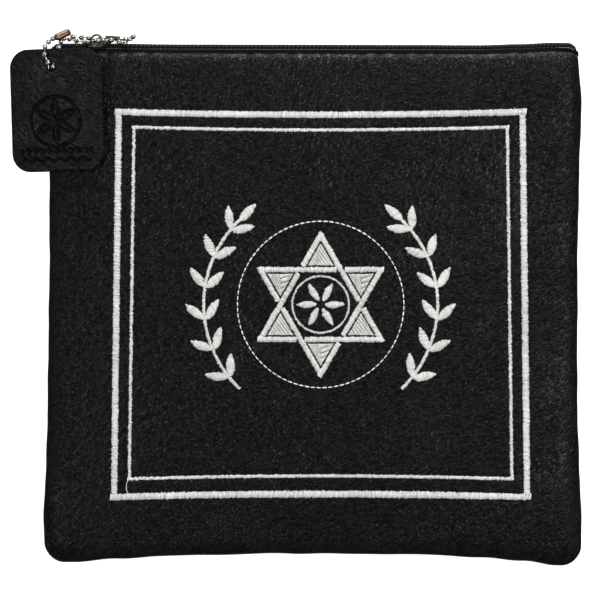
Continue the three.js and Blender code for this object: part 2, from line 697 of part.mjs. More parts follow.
function leatherFob() {
  const seat = fobSeat();
  const holeY = FOB_HEIGHT / 2 - FOB_HOLE_DROP;
  const outline = fobOutline(FOB_POINTS);
  const hole = outline.map(([x, y]) => {
    const angle = Math.atan2(y - holeY, x - FOB_HOLE_SHIFT);
    const reach = FOB_HOLE / 2;
    return [FOB_HOLE_SHIFT + reach * Math.cos(angle), holeY + reach * Math.sin(angle)];
  });
  const sheet = (height) => FOB_STEPS.map((share) => outline.map(([x, y], i) => {
    const [a, b] = [THREE.MathUtils.lerp(hole[i][0], x, share), THREE.MathUtils.lerp(hole[i][1], y, share)];
    return fobBend(a, b, height).map((value, axis) => value + seat[axis]);
  }));
  return loopSkin([...sheet(0), ...sheet(FOB_THICKNESS).reverse()]);
}

// Place on the front face, at a height above it
function onFace(x, y, above) {
  return [x, y, SEAM_HEIGHT + FRONT_RISE + faceLift(x, y) + STITCH_LIFT + above];
}

// Corners of the embroidered frame, drawn in by an inset, and a point on one of its four sides
function framePoint(run, share, inset, lowInset) {
  const top = FRAME_HEIGHT / 2 - inset;
  const low = -FRAME_HEIGHT / 2 + lowInset;
  const [wide, narrow] = [FRAME_LOW_WIDTH / 2 - inset, FRAME_TOP_WIDTH / 2 - inset];
  const corners = [[-wide, low], [wide, low], [narrow, top], [-narrow, top]];
  const [from, to] = [corners[run], corners[(run + 1) % 4]];
  const sag = FRAME_SAG * 4 * share * (1 - share);
  const x = THREE.MathUtils.lerp(from[0], to[0], share);
  const y = THREE.MathUtils.lerp(from[1], to[1], share) + (run === 0 ? sag : 0) - (run === 2 ? sag : 0);
  return [x + FRAME_SHIFT_X, y + FRAME_SHIFT_Y];
}

// A raised band round the frame: a ring of flat sections that follow the face
function frameBand(inset, lowInset, width) {
  const rings = [];
  for (let i = 0; i < 4 * FRAME_PARTS; i += 1) {
    const [run, share] = [Math.floor(i / FRAME_PARTS), (i % FRAME_PARTS) / FRAME_PARTS];
    const [outX, outY] = framePoint(run, share, inset, lowInset);
    const [inX, inY] = framePoint(run, share, inset + width, lowInset + width);
    rings.push([
      onFace(outX, outY, 0), onFace(outX, outY, THREAD / 2),
      onFace((outX + inX) / 2, (outY + inY) / 2, THREAD), onFace(inX, inY, THREAD / 2),
      onFace(inX, inY, 0),
    ]);
  }
  return loopSkin(rings, true);
}

// Six-pointed star of two bands, as one pierced plate laid on the face
function motifStar() {
  const tip = THREE.MathUtils.degToRad(STAR_TURN);
  const [first, second] = [tip, tip + Math.PI].map(triangleBand);
  return drape(asGeometry(first.add(second)));
}

// Triangle with one tip at an angle from the centre, as a flat band
function triangleBand(tip) {
  const corners = (radius) => Array.from({ length: STAR_CORNERS }, (_, i) => {
    const angle = tip + (2 * Math.PI * i) / STAR_CORNERS;
    return new THREE.Vector2(radius * Math.cos(angle), radius * Math.sin(angle));
  });
  const shape = new THREE.Shape(corners(STAR_RADIUS + STAR_BAND));
  shape.holes.push(new THREE.Path(corners(STAR_RADIUS - STAR_BAND)));
  return asManifold(flatPiece(shape, THREAD, 1));
}

// Lays a flat piece of the ornament on the front face, round the frame's middle
function drape(geometry) {
  const place = geometry.attributes.position;
  for (let i = 0; i < place.count; i += 1) {
    const [x, y] = [place.getX(i) + FRAME_SHIFT_X, place.getY(i) + FRAME_SHIFT_Y];
    place.setXYZ(i, ...onFace(x, y, place.getZ(i)));
  }
  return geometry;
}

// Branch beside the star, 1 right or -1 left: a curved stem with pairs of leaves, and one leaf at its tip
function motifBranch(side) {
  const reach = THREE.MathUtils.degToRad(BRANCH_TURN);
  const shape = new THREE.Shape();
  shape.absarc(0, 0, BRANCH_RADIUS + STEM_WIDTH / 2, -reach, reach);
  shape.absarc(0, 0, BRANCH_RADIUS - STEM_WIDTH / 2, reach, -reach, true);
  let branch = asManifold(flatPiece(shape, THREAD, STEM_PARTS)).add(leafAt(BRANCH_TURN, 0));
  for (let pair = 0; pair < LEAF_PAIRS; pair += 1) {
    const turn = LEAF_SPREAD * BRANCH_TURN * ((2 * pair) / (LEAF_PAIRS - 1) - 1);
    branch = branch.add(leafAt(turn, LEAF_LEAN)).add(leafAt(turn, -LEAF_LEAN));
  }
  return drape(asGeometry(side > 0 ? branch : branch.mirror([1, 0, 0])));
}

// Leaf whose root is on the stem at a turn, leaning away from the stem's way
function leafAt(turn, lean) {
  const half = LEAF_WIDTH / 2;
  const under = LEAF_STEPS.map(({ at, wide }) => new THREE.Vector2(at * LEAF_LENGTH, -wide * half));
  const over = under.slice(0, -1).reverse().map(({ x, y }) => new THREE.Vector2(x, -y));
  const leaf = asManifold(flatPiece(new THREE.Shape([...under, ...over]), THREAD, 1));
  const angle = THREE.MathUtils.degToRad(turn);
  return leaf.rotate([0, 0, turn + 90 + lean])
    .translate([BRANCH_RADIUS * Math.cos(angle), BRANCH_RADIUS * Math.sin(angle), 0]);
}

function piece(name, geometry, finish) {
  const mesh = new THREE.Mesh(geometry, new THREE.MeshStandardMaterial(finish));
  mesh.name = name;
  return mesh;
}

const bag = new THREE.Group();
bag.add(
  piece('front_panel', frontPanel(), leather),
  piece('back_panel', backPanel(), leather),
  piece('zip_tape_front', zipTape(1), tapeCloth),
  piece('zip_tape_back', zipTape(-1), tapeCloth),
  piece('zip_coil', zipCoil(), coilPlastic),
  piece('zip_slider', zipSlider(), darkMetal),
  piece('zip_puller', zipPuller(), darkMetal),
  piece('ball_chain', ballChain(), darkMetal),
  piece('chain_connector', chainConnector(), bronze),
  piece('leather_fob', leatherFob(), leather),
  piece('border_outer', frameBand(0, 0, FRAME_BAND), thread),
  piece('border_inner', frameBand(INNER_INSET, INNER_LOW_INSET, INNER_BAND), thread),
  piece('motif_star', motifStar(), thread),
  piece('motif_branch_left', motifBranch(-1), thread),
  piece('motif_branch_right', motifBranch(1), thread),
);

export default bag;
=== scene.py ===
import logging
import math
from dataclasses import dataclass, field
from enum import Enum
from typing import Sequence

import bpy
import numpy as np
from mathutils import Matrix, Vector


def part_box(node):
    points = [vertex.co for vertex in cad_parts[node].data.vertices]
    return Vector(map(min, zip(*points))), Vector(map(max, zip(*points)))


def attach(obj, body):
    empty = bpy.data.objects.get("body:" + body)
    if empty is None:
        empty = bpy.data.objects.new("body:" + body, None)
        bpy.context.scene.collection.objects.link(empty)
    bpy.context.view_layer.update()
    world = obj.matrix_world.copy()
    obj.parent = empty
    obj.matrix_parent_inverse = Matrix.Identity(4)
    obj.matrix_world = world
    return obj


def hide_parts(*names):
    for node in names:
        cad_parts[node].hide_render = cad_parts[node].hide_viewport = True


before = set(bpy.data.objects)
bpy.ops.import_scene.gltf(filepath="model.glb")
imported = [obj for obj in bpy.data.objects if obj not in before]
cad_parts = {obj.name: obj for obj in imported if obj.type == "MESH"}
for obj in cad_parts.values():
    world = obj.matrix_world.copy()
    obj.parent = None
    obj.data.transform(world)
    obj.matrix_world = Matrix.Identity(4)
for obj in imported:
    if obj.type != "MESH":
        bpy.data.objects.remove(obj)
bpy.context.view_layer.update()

LOG = logging.getLogger("pouch")
MM = 0.001
TURN = 2 * math.pi
RUB = "rub"
Array = np.ndarray
Colour = tuple[float, float, float]
Pair = tuple[float, float]
Material = bpy.types.Material
Object = bpy.types.Object
Socket = bpy.types.NodeSocket
Tree = bpy.types.NodeTree


class Side(Enum):
    """The two faces of the pouch, by the sign of their height above the seam."""

    FRONT = 1
    BACK = -1


class Slot(Enum):
    """The record's material slots."""

    LEATHER = "leather"
    THREAD = "thread"
    TAPE = "zip_tape"
    COIL = "zip_coil"
    METAL = "dark_metal"
    BRONZE = "bronze"


# Shape helpers


def eased(share: Array) -> Array:
    """A share from 0 to 1 with level ends."""
    return share * share * (3 - 2 * share)


def ease(at: Sequence[float], values: Sequence[float], place: Array) -> Array:
    """Eased value, at each wanted place, of a table whose own places rise."""
    at, values = np.asarray(at, float), np.asarray(values, float)
    row = np.clip(np.searchsorted(at, place) - 1, 0, len(at) - 2)
    share = np.clip((place - at[row]) / (at[row + 1] - at[row]), 0, 1)
    return values[row] + (values[row + 1] - values[row]) * eased(share)


def ripple(place: Array, lengths: Pair, waves: int, seed: int) -> Array:
    """Seeded sum of sine waves of a shortest to a longest length, from about -1 to 1."""
    rng = np.random.default_rng(seed)
    total = np.zeros_like(place, dtype=float)
    for _ in range(waves):
        length, phase = rng.uniform(*lengths), rng.uniform(0, TURN)
        total += np.sin(TURN * place / length + phase)
    return total / math.sqrt(waves * 2)


def unit(vectors: Array) -> Array:
    """Vectors of length one."""
    return vectors / np.maximum(np.linalg.norm(vectors, axis=-1, keepdims=True), 1e-9)


def heading(degrees: Array | float) -> Array:
    """Directions of length one in the plane."""
    turn = np.radians(degrees)
    return np.stack([np.cos(turn), np.sin(turn)], -1)


def distances(path: Array) -> Array:
    """Distance along a path at each of its points."""
    return np.concatenate([[0], np.cumsum(np.linalg.norm(np.diff(path, axis=0), axis=1))])


def read_off(place: Array, run: Array, table: Array) -> Array:
    """Rows of a table at places along its run."""
    return np.stack([np.interp(place, run, column) for column in table.T], 1)


def grid_faces(rows: int, columns: int, wrap: bool = False) -> Array:
    """Quads of a grid of points, its last column joined to the first if it wraps."""
    count = columns if wrap else columns - 1
    row, column = np.meshgrid(np.arange(rows - 1), np.arange(count), indexing="ij")
    after = (column + 1) % columns
    corners = [row * columns + column, row * columns + after,
               (row + 1) * columns + after, (row + 1) * columns + column]
    return np.stack(corners, -1).reshape(-1, 4)


def shown(name: str, data: bpy.types.ID) -> Object:
    """Makes an object of its data and links it to the scene."""
    made = bpy.data.objects.new(name, data)
    bpy.context.scene.collection.objects.link(made)
    return made


def store_rub(made: Object, values: Array) -> None:
    """Keeps how far each point of a leather piece is rubbed."""
    made.data.attributes.new(RUB, "FLOAT", "POINT").data.foreach_set("value", values.ravel())


def sections(path: Array, wide: Array, tall: Array, sides: int,
             upright: Sequence[float] = (0, 0, 1)) -> Array:
    """Elliptical sections along paths.

    Args:
        path: points of the paths; the last axis holds the coordinates, the one before it the path.
        wide: half width of the section at each point.
        tall: half height of the section at each point.
        sides: points in a section.
        upright: the way that the section's height points.

    Returns:
        The path's array with one more axis for the section's points.
    """
    ahead = unit(np.gradient(path, axis=-2))
    across = unit(np.cross(ahead, np.asarray(upright, float)))
    up = np.cross(across, ahead)
    turn = np.arange(sides) * TURN / sides
    return (path[..., None, :]
            + across[..., None, :] * (np.cos(turn)[:, None] * wide[..., None, None])
            + up[..., None, :] * (np.sin(turn)[:, None] * tall[..., None, None]))


def smooth_points(route: Array, pitch: float) -> Array:
    """Evenly spaced points on the centripetal curve through a route, ends included.

    Args:
        route: the chosen points.
        pitch: the wanted distance between neighbours.

    Returns:
        The points, as near to the pitch as a whole number of steps gives.
    """
    points = np.vstack([2 * route[0] - route[1], route, 2 * route[-1] - route[-2]])
    place = np.linspace(0, len(route) - 1, 401)
    step = np.minimum(place.astype(int), len(route) - 2)
    share = (place - step)[:, None]
    four = [points[step + i] for i in range(4)]
    gaps = [np.linalg.norm(four[i + 1] - four[i], axis=1)[:, None] ** 0.5 for i in range(3)]
    start = ((four[1] - four[0]) / gaps[0] - (four[2] - four[0]) / (gaps[0] + gaps[1])) * gaps[1]
    start += four[2] - four[1]
    stop = ((four[3] - four[2]) / gaps[2] - (four[3] - four[1]) / (gaps[1] + gaps[2])) * gaps[1]
    stop += four[2] - four[1]
    bow = -3 * four[1] + 3 * four[2] - 2 * start - stop
    turn = 2 * four[1] - 2 * four[2] + start + stop
    curve = four[1] + start * share + bow * share**2 + turn * share**3
    run = distances(curve)
    return read_off(np.linspace(0, run[-1], round(run[-1] / pitch) + 1), run, curve)


@dataclass
class MeshParts:
    """Points in millimetres and faces that go into one mesh."""

    points: list[Array] = field(default_factory=list)
    faces: list[list[int]] = field(default_factory=list)
    count: int = 0

    def add(self, points: Array, faces: Sequence[Sequence[int]]) -> None:
        """Adds one body's points and faces."""
        points = np.asarray(points, float).reshape(-1, 3)
        self.points.append(points)
        self.faces.extend((np.asarray(face) + self.count).tolist() for face in faces)
        self.count += len(points)

    def tube(self, rings: Array) -> None:
        """Adds a skin through rings of points, with its first and last ring covered."""
        count, sides = rings.shape[:2]
        faces = grid_faces(count, sides, wrap=True).tolist()
        faces.append(list(range(sides))[::-1])
        faces.append([(count - 1) * sides + i for i in range(sides)])
        self.add(rings, faces)

    def mesh(self, name: str, material: Material) -> bpy.types.Mesh:
        """Makes the mesh with its finish."""
        mesh = bpy.data.meshes.new(name)
        mesh.from_pydata((np.vstack(self.points) * MM).tolist(), [], self.faces)
        mesh.materials.append(material)
        return mesh

    def build(self, name: str, material: Material, slot: Slot, *replaces: str) -> Object:
        """Makes the smooth object, puts it on the frame and hides the CAD nodes that it stands for.

        Args:
            name: the piece's name.
            material: its finish.
            slot: not used.
            replaces: CAD nodes that it stands for.

        Returns:
            The new object.
        """
        mesh = self.mesh(name, material)
        mesh.polygons.foreach_set("use_smooth", [True] * len(mesh.polygons))
        made = shown(name, mesh)
        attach(made, "root")
        if replaces:
            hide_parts(*replaces)
        LOG.info("%s: %d points", name, self.count)
        return made


# Node helpers


class Graph:
    """Places nodes in a tree and joins them."""

    def __init__(self, tree: Tree) -> None:
        """Keeps the tree."""
        self.tree = tree

    def feed(self, socket: Socket, value: object) -> None:
        """Links a socket, or sets its value."""
        if isinstance(value, Socket):
            self.tree.links.new(value, socket)
        else:
            socket.default_value = value

    def node(self, kind: str, inputs: dict | None = None, **settings: object) -> bpy.types.Node:
        """Adds a node with values or sockets for its inputs, and its own settings."""
        made = self.tree.nodes.new(kind)
        for name, value in settings.items():
            setattr(made, name, value)
        for name, value in (inputs or {}).items():
            self.feed(made.inputs[name], value)
        return made

    def math(self, operation: str, *values: object) -> Socket:
        """Result of a sum on sockets or numbers."""
        return self.node("ShaderNodeMath", dict(enumerate(values)), operation=operation).outputs[0]

    def vector(self, operation: str, *values: object) -> Socket:
        """Result of a sum on vectors."""
        return self.node("ShaderNodeVectorMath", dict(enumerate(values)), operation=operation).outputs[0]

    def weigh(self, first: Socket, first_share: float, second: Socket, second_share: float) -> Socket:
        """Weighted sum of two values."""
        return self.math("ADD", self.math("MULTIPLY", first, first_share),
                         self.math("MULTIPLY", second, second_share))

    def spread(self, value: Socket, low: float, high: float, to: Pair = (0, 1)) -> Socket:
        """Eases a value from one range to another."""
        return self.node("ShaderNodeMapRange", {"Value": value, "From Min": low, "From Max": high,
                                                "To Min": to[0], "To Max": to[1]},
                         interpolation_type="SMOOTHSTEP").outputs["Result"]

    def noise(self, place: Socket, scale: object, detail: float = 2, rough: float = 0.5,
              twist: float = 0) -> Socket:
        """Value of a noise texture."""
        return self.node("ShaderNodeTexNoise", {"Vector": place, "Scale": scale, "Detail": detail,
                                                "Roughness": rough, "Distortion": twist}).outputs[0]

    def give(self, result: object, **values: Socket) -> Tree:
        """Feeds a group's results and gives its tree."""
        for label, value in values.items():
            self.feed(result[label], value)
        return self.tree


def new_group(name: str, takes: Sequence[str], gives: Sequence[str]) -> tuple[Graph, object, object]:
    """Starts a shader node group.

    Args:
        name: the group's name.
        takes: its inputs next to the Place, all numbers.
        gives: its outputs, all numbers.

    Returns:
        The graph, and the sockets of the group's inputs and results by name.
    """
    tree = bpy.data.node_groups.new(name, "ShaderNodeTree")
    tree.interface.new_socket("Place", in_out="INPUT", socket_type="NodeSocketVector")
    for way, labels in (("INPUT", takes), ("OUTPUT", gives)):
        for label in labels:
            tree.interface.new_socket(label, in_out=way, socket_type="NodeSocketFloat")
    graph = Graph(tree)
    return graph, graph.node("NodeGroupInput").outputs, graph.node("NodeGroupOutput").inputs


class Effects:
    """Effects that several finishes share, each built once as a node group."""

    def __init__(self) -> None:
        """Builds the groups."""
        self.grain = self.creased_grain()
        self.lustre = self.thread_lustre()
        self.weave = self.tape_weave()
        self.wear = self.plated_wear()

    @staticmethod
    def creased_grain() -> Tree:
        """Fine leather grain with longer creases across one way.

        Returns:
            A group that gives Height, the crease mask (where the leather is coloured darker as painted shade)
            and Mottle.
        """
        graph, source, result = new_group("creased grain", ("Cell", "Angle", "Stretch"),
                                          ("Height", "Crease", "Mottle"))
        place, size = source["Place"], source["Cell"]
        turned = graph.node("ShaderNodeVectorRotate", {"Vector": place, "Angle": source["Angle"]},
                            rotation_type="Z_AXIS").outputs[0]
        squeeze = graph.node("ShaderNodeCombineXYZ", {"X": source["Stretch"], "Y": 1.0, "Z": 1.0})
        drawn = graph.vector("MULTIPLY", turned, squeeze.outputs[0])
        scale = graph.math("DIVIDE", 1.0, size)
        warp = graph.math("MULTIPLY", graph.noise(drawn, graph.math("MULTIPLY", scale, 0.45), 1), size)
        shift = graph.node("ShaderNodeCombineXYZ", {"X": warp, "Y": warp})
        warped = graph.vector("ADD", drawn, shift.outputs[0])
        cells = graph.node("ShaderNodeTexVoronoi", {"Vector": warped, "Scale": scale},
                           feature="DISTANCE_TO_EDGE").outputs["Distance"]
        pebble = graph.spread(cells, 0.0, 0.4)
        lines = graph.noise(drawn, graph.math("MULTIPLY", scale, 0.62), 2, 0.5, 0.25)
        broad = graph.noise(place, graph.math("MULTIPLY", scale, 0.04))
        strength = graph.spread(broad, 0.38, 0.62, (0.5, 1.0))
        height = graph.math("MULTIPLY", graph.weigh(pebble, 0.36, lines, 0.8), strength)
        # The crease mask is 1 in the low places of the lines; the leather finishes colour these darker as
        # painted shade.
        return graph.give(result, Height=height, Crease=graph.spread(lines, 0.6, 0.4), Mottle=broad)

    @staticmethod
    def thread_lustre() -> Tree:
        """Twist and tone of embroidery thread: a group that gives Height and Tone."""
        graph, source, result = new_group("thread lustre", (), ("Height", "Tone"))
        fibre, strand, area = (graph.noise(source["Place"], scale, detail)
                               for scale, detail in ((5200.0, 2), (1700.0, 1), (60.0, 2)))
        tone = graph.weigh(strand, 0.7, area, 0.3)
        return graph.give(result, Height=fibre, Tone=graph.spread(tone, 0.3, 0.62))

    @staticmethod
    def tape_weave() -> Tree:
        """Over-and-under weave of a zip's tape: a group that gives Height and Tone."""
        graph, source, result = new_group("tape weave", ("Pitch",), ("Height", "Tone"))
        x, y, z = graph.node("ShaderNodeSeparateXYZ", {0: source["Place"]}).outputs
        turn = graph.math("DIVIDE", TURN, source["Pitch"])
        along, across = (graph.math("SINE", graph.math("MULTIPLY", way, turn))
                         for way in (x, graph.math("ADD", y, z)))
        over = graph.spread(graph.math("MULTIPLY", along, across), -1.0, 1.0)
        return graph.give(result, Height=over, Tone=graph.noise(source["Place"], 300.0))

    @staticmethod
    def plated_wear() -> Tree:
        """Smudges and fine scratches of plated metal: a group that gives Rub and Height."""
        graph, source, result = new_group("plated wear", (), ("Rub", "Height"))
        rub = graph.noise(source["Place"], 420.0, 3, 0.6)
        stretched = graph.vector("MULTIPLY", source["Place"], (1.0, 7.0, 3.0))
        return graph.give(result, Rub=graph.spread(rub, 0.35, 0.7), Height=graph.noise(stretched, 1400.0))


class Surface:
    """A material under way: its graph, its shader and the place on the object."""

    def __init__(self, name: str, **constants: object) -> None:
        """Starts the material, with plain values for the shader's sockets and _ for a blank."""
        self.material = bpy.data.materials.new(name)
        self.material.use_nodes = True
        self.graph = Graph(self.material.node_tree)
        self.shader = self.material.node_tree.nodes["Principled BSDF"]
        self.place = self.graph.node("ShaderNodeTexCoord").outputs["Object"]
        for label, value in constants.items():
            self.shader.inputs[label.replace("_", " ")].default_value = value

    def effect(self, tree: Tree, **inputs: object) -> object:
        """Places a shared group with this material's own values, and gives its outputs."""
        return self.graph.node("ShaderNodeGroup", {"Place": self.place, **inputs}, node_tree=tree).outputs

    def put(self, label: str, value: object) -> None:
        """Feeds one of the shader's sockets."""
        self.graph.feed(self.shader.inputs[label], value)

    def tint(self, share: Socket, first: Colour, second: Colour) -> None:
        """Feeds the shader's colour from two colours."""
        mix = self.graph.node("ShaderNodeMix", {0: share, 6: (*first, 1.0), 7: (*second, 1.0)},
                              data_type="RGBA")
        self.put("Base Color", mix.outputs[2])

    def relief(self, height: Socket, depth: float, strength: float = 1.0) -> None:
        """Feeds the shader's normal from a height whose real depth is in millimetres."""
        bump = self.graph.node("ShaderNodeBump", {"Height": height, "Distance": depth * MM,
                                                  "Strength": strength})
        self.put("Normal", bump.outputs[0])


@dataclass(frozen=True)
class LeatherFinish:
    """Black grained leather, coloured darker in the grain's creases as painted shade."""

    name: str
    tone: Colour
    crease_shade: Colour
    cell: float
    depth: float
    angle: float
    stretch: float
    roughness: Pair = (0.34, 0.44)
    turned: Pair = (0.02, 0.4)
    shine: Pair = (0.075, 0.01)
    rubbed: float = 0.36

    def make(self, effects: Effects) -> Material:
        """Builds the material from the shared grain, with painted shade in its creases, duller on the rolls
        and rubbed on the fold.
        """
        surface = Surface(self.name)
        graph = surface.graph
        facing = graph.node("ShaderNodeLayerWeight", {"Blend": 0.5}).outputs["Facing"]
        rub = graph.node("ShaderNodeAttribute", attribute_name=RUB).outputs["Fac"]
        shine = graph.spread(facing, *self.turned, self.shine)
        surface.put("Specular IOR Level", graph.math("MULTIPLY_ADD", rub, self.rubbed, shine))
        grain = surface.effect(effects.grain, Cell=self.cell * MM, Angle=math.radians(self.angle),
                               Stretch=self.stretch)
        # Painted shade: the grain's creases take the darker crease colour.
        surface.tint(grain["Crease"], self.tone, self.crease_shade)
        surface.put("Roughness", graph.spread(grain["Mottle"], 0.35, 0.65, self.roughness))
        surface.relief(grain["Height"], self.depth)
        return surface.material


@dataclass(frozen=True)
class ThreadFinish:
    """Embroidery thread with a soft lustre."""

    name: str
    tone: Colour
    shade: Colour
    roughness: float = 0.5

    def make(self, effects: Effects) -> Material:
        """Builds the material from the shared thread lustre."""
        surface = Surface(self.name, Specular_IOR_Level=0.4, Sheen_Weight=0.15, Sheen_Roughness=0.4,
                          Roughness=self.roughness)
        lustre = surface.effect(effects.lustre)
        surface.tint(lustre["Tone"], self.shade, self.tone)
        surface.relief(lustre["Height"], depth=0.05, strength=0.6)
        return surface.material


@dataclass(frozen=True)
class TapeFinish:
    """Woven zip tape, or the moulded coil that it carries."""

    name: str
    tone: Colour
    shade: Colour
    roughness: float
    pitch: float
    depth: float
    shine: float

    def make(self, effects: Effects) -> Material:
        """Builds the material from the shared weave."""
        surface = Surface(self.name, Specular_IOR_Level=self.shine, Roughness=self.roughness)
        weave = surface.effect(effects.weave, Pitch=self.pitch * MM)
        surface.tint(weave["Tone"], self.shade, self.tone)
        surface.relief(weave["Height"], self.depth)
        return surface.material


@dataclass(frozen=True)
class MetalFinish:
    """Plated metal, brighter where it is rubbed."""

    name: str
    tone: Colour
    rubbed: Colour
    roughness: Pair

    def make(self, effects: Effects) -> Material:
        """Builds the material from the shared wear."""
        surface = Surface(self.name, Metallic=1.0)
        wear = surface.effect(effects.wear)
        surface.tint(wear["Rub"], self.tone, self.rubbed)
        surface.put("Roughness", surface.graph.spread(wear["Rub"], 0.0, 1.0, self.roughness))
        surface.relief(wear["Height"], depth=0.02, strength=0.5)
        return surface.material


# Form of the pouch and of its stitched border


@dataclass(frozen=True)
class EmbroideredFrame:
    """Sizes of the double stitched border."""

    top_width: float = 182.8
    low_width: float = 186.9
    height: float = 174.5
    shift_x: float = 3.6
    shift_y: float = 2.8
    sag: float = 1.3
    band: float = 3.1
    inner_band: float = 1.5
    inset: float = 7.6
    low_inset: float = 8.9
    press_reach: Pair = (2.6, 1.8)

    def side(self, run: int, inset: float, low_inset: float, share: Array) -> Array:
        """Points on one side of the frame.

        Args:
            run: 0 bottom, 1 right, 2 top, 3 left.
            inset: how far the frame is drawn in.
            low_inset: how far its lower side is drawn in.
            share: place along the side, from 0 to 1.

        Returns:
            Points in the plane of the front.
        """
        top, low = self.height / 2 - inset, low_inset - self.height / 2
        wide, narrow = self.low_width / 2 - inset, self.top_width / 2 - inset
        corners = np.array([[-wide, low], [wide, low], [narrow, top], [-narrow, top]])
        start, stop = corners[run], corners[(run + 1) % 4]
        points = start + (stop - start) * np.asarray(share)[:, None]
        bow = self.sag * 4 * share * (1 - share) * {0: 1, 2: -1}.get(run, 0)
        return points + np.stack([np.zeros_like(bow), bow], 1) + [self.shift_x, self.shift_y]

    def press(self, x: Array, y: Array) -> Array:
        """How far the stitched lines press the leather down.

        Args:
            x: places across the front.
            y: places up the front.

        Returns:
            The share of the full press at each place, from 0 to 1.
        """
        x, y = x - self.shift_x, y - self.shift_y
        along = np.clip(x / (self.top_width / 2), -1, 1)
        bow = self.sag * (1 - along * along)
        rise = (y + self.height / 2) / self.height
        total = np.zeros_like(x)
        for inset, low_inset, band, reach in zip((0, self.inset), (0, self.low_inset),
                                                 (self.band, self.inner_band), self.press_reach):
            top = self.height / 2 - inset - band / 2 - bow
            low = low_inset + band / 2 - self.height / 2 + bow
            wide = (self.low_width + (self.top_width - self.low_width) * rise) / 2 - inset - band / 2
            outside = np.maximum(np.maximum(y - top, low - y), np.abs(x) - wide)
            total = np.maximum(total, np.exp(-((outside / reach) ** 2)))
        return total


BORDER = EmbroideredFrame()


@dataclass(frozen=True)
class PouchForm:
    """Plan, swell and edges of the pouch in millimetres, as the frame's panels have them."""

    width: float = 240.0
    height: float = 227.0
    seam: float = 7.0
    rise: float = 7.0
    dome: float = 4.0
    roll: float = 9.5
    fold_roll: float = 2.0
    fold_height: float = 2.4
    pinch: float = 9.0
    low_corner: float = 9.0
    high_corner: float = 3.0
    waist: float = 2.7
    sag: float = 5.3
    wave: float = 1.3
    gap: float = 0.3
    unevenness: float = 0.16
    stitch_press: float = 0.22
    side_at: tuple = (-1, -0.82, -0.6, -0.35, 0.25, 0.55, 0.83, 1)
    side_left: tuple = (0.3, 0, 0.45, 0.72, 1, 1, 0.7, 0.95)
    side_right: tuple = (0.1, 0, 0.4, 0.7, 0.65, 0.35, 0, 0.57)
    edge_at: tuple = (-1, -0.88, -0.72, -0.5, -0.1, 0.4, 0.62, 0.78, 0.9, 1)
    edge_low: tuple = (0.3, 0.28, 0.58, 0.83, 1, 0.92, 0.67, 0.4, 0, 0)
    edge_high: tuple = (0.35, 0.35, 0.3, 0.07, 0, -0.1, -0.2, 0.2, 0.67, 0.6)
    swells: tuple = ((-0.8, -0.8, 0.2, 0.2, 0.28), (0.82, -0.82, 0.2, 0.18, 0.34),
                     (0.84, 0.78, 0.18, 0.2, 0.22), (0, 0.97, 0.6, 0.16, -0.22),
                     (0.05, -0.9, 0.5, 0.14, -0.3), (-0.92, 0.1, 0.12, 0.45, -0.14),
                     (0.93, -0.05, 0.12, 0.5, -0.16))

    @property
    def half_w(self) -> float:
        """Half the width."""
        return self.width / 2

    @property
    def half_h(self) -> float:
        """Half the panels' height."""
        return self.height / 2

    def top_wave(self, x: Array) -> Array:
        """How far the top edge stands above its usual line."""
        return self.wave * ease(self.edge_at, self.edge_high, x / self.half_w)

    def fold_line(self, x: Array) -> Array:
        """Line of the fold that the zip stands on."""
        return self.half_h + self.top_wave(x)

    def bend(self, x: Array, y: Array) -> tuple[Array, Array]:
        """Takes places in the plain rectangle to the soft outline."""
        u, v = np.clip(x / self.half_w, -1, 1), np.clip(y / self.half_h, -1, 1)
        waist = np.where(u < 0, ease(self.side_at, self.side_left, v), ease(self.side_at, self.side_right, v))
        pull = np.where(v < 0, self.sag * ease(self.edge_at, self.edge_low, u), self.top_wave(x))
        return x - np.sign(u) * self.waist * waist * np.abs(u) ** 4, y + pull * np.abs(v) ** 4

    def at_top(self, x: Array, y: Array, z: Array | float) -> Array:
        """Points near the top edge, by plain place, line and height above the seam."""
        plan = self.bend(x, np.full_like(x, self.half_h))[0]
        return np.stack(np.broadcast_arrays(plan, y, self.seam + z), -1)

    def swell(self, x: Array, y: Array) -> Array:
        """Height that the soft front adds above the level of its edge."""
        u, v = x / self.half_w, y / self.half_h
        total = (np.maximum(0, 1 - u * u) * np.maximum(0, 1 - v * v)) ** 0.8
        for at_x, at_y, reach_x, reach_y, lift in self.swells:
            total = total + lift * np.exp(-((u - at_x) / reach_x) ** 2 - ((v - at_y) / reach_y) ** 2)
        return self.dome * total

    def open_share(self, x: Array) -> Array:
        """How far the folded top edge is open: 0 at the side seams, 1 past the pinch."""
        return eased(np.clip((self.half_w - np.abs(x) - 1) / (self.pinch - 1), 0, 1))

    def fold_root(self, x: Array, crest: Array | float) -> Array:
        """Height of the fold's inner edge under a crest."""
        return self.gap / 2 + (crest - self.fold_height - self.gap / 2) * self.open_share(x)

    def relief(self, x: Array, y: Array) -> Array:
        """Soft unevenness of the filled front, in millimetres."""
        slow = ripple(x * 0.8 + y * 0.6, (45, 90), 3, 3) + ripple(y * 0.9 - x * 0.45, (38, 80), 3, 8)
        return self.unevenness * slow - self.stitch_press * BORDER.press(x, y)

    def front(self, x: Array, y: Array) -> Array:
        """Height of the front face."""
        return self.seam + self.rise + self.swell(x, y) + self.relief(x, y)


FORM = PouchForm()


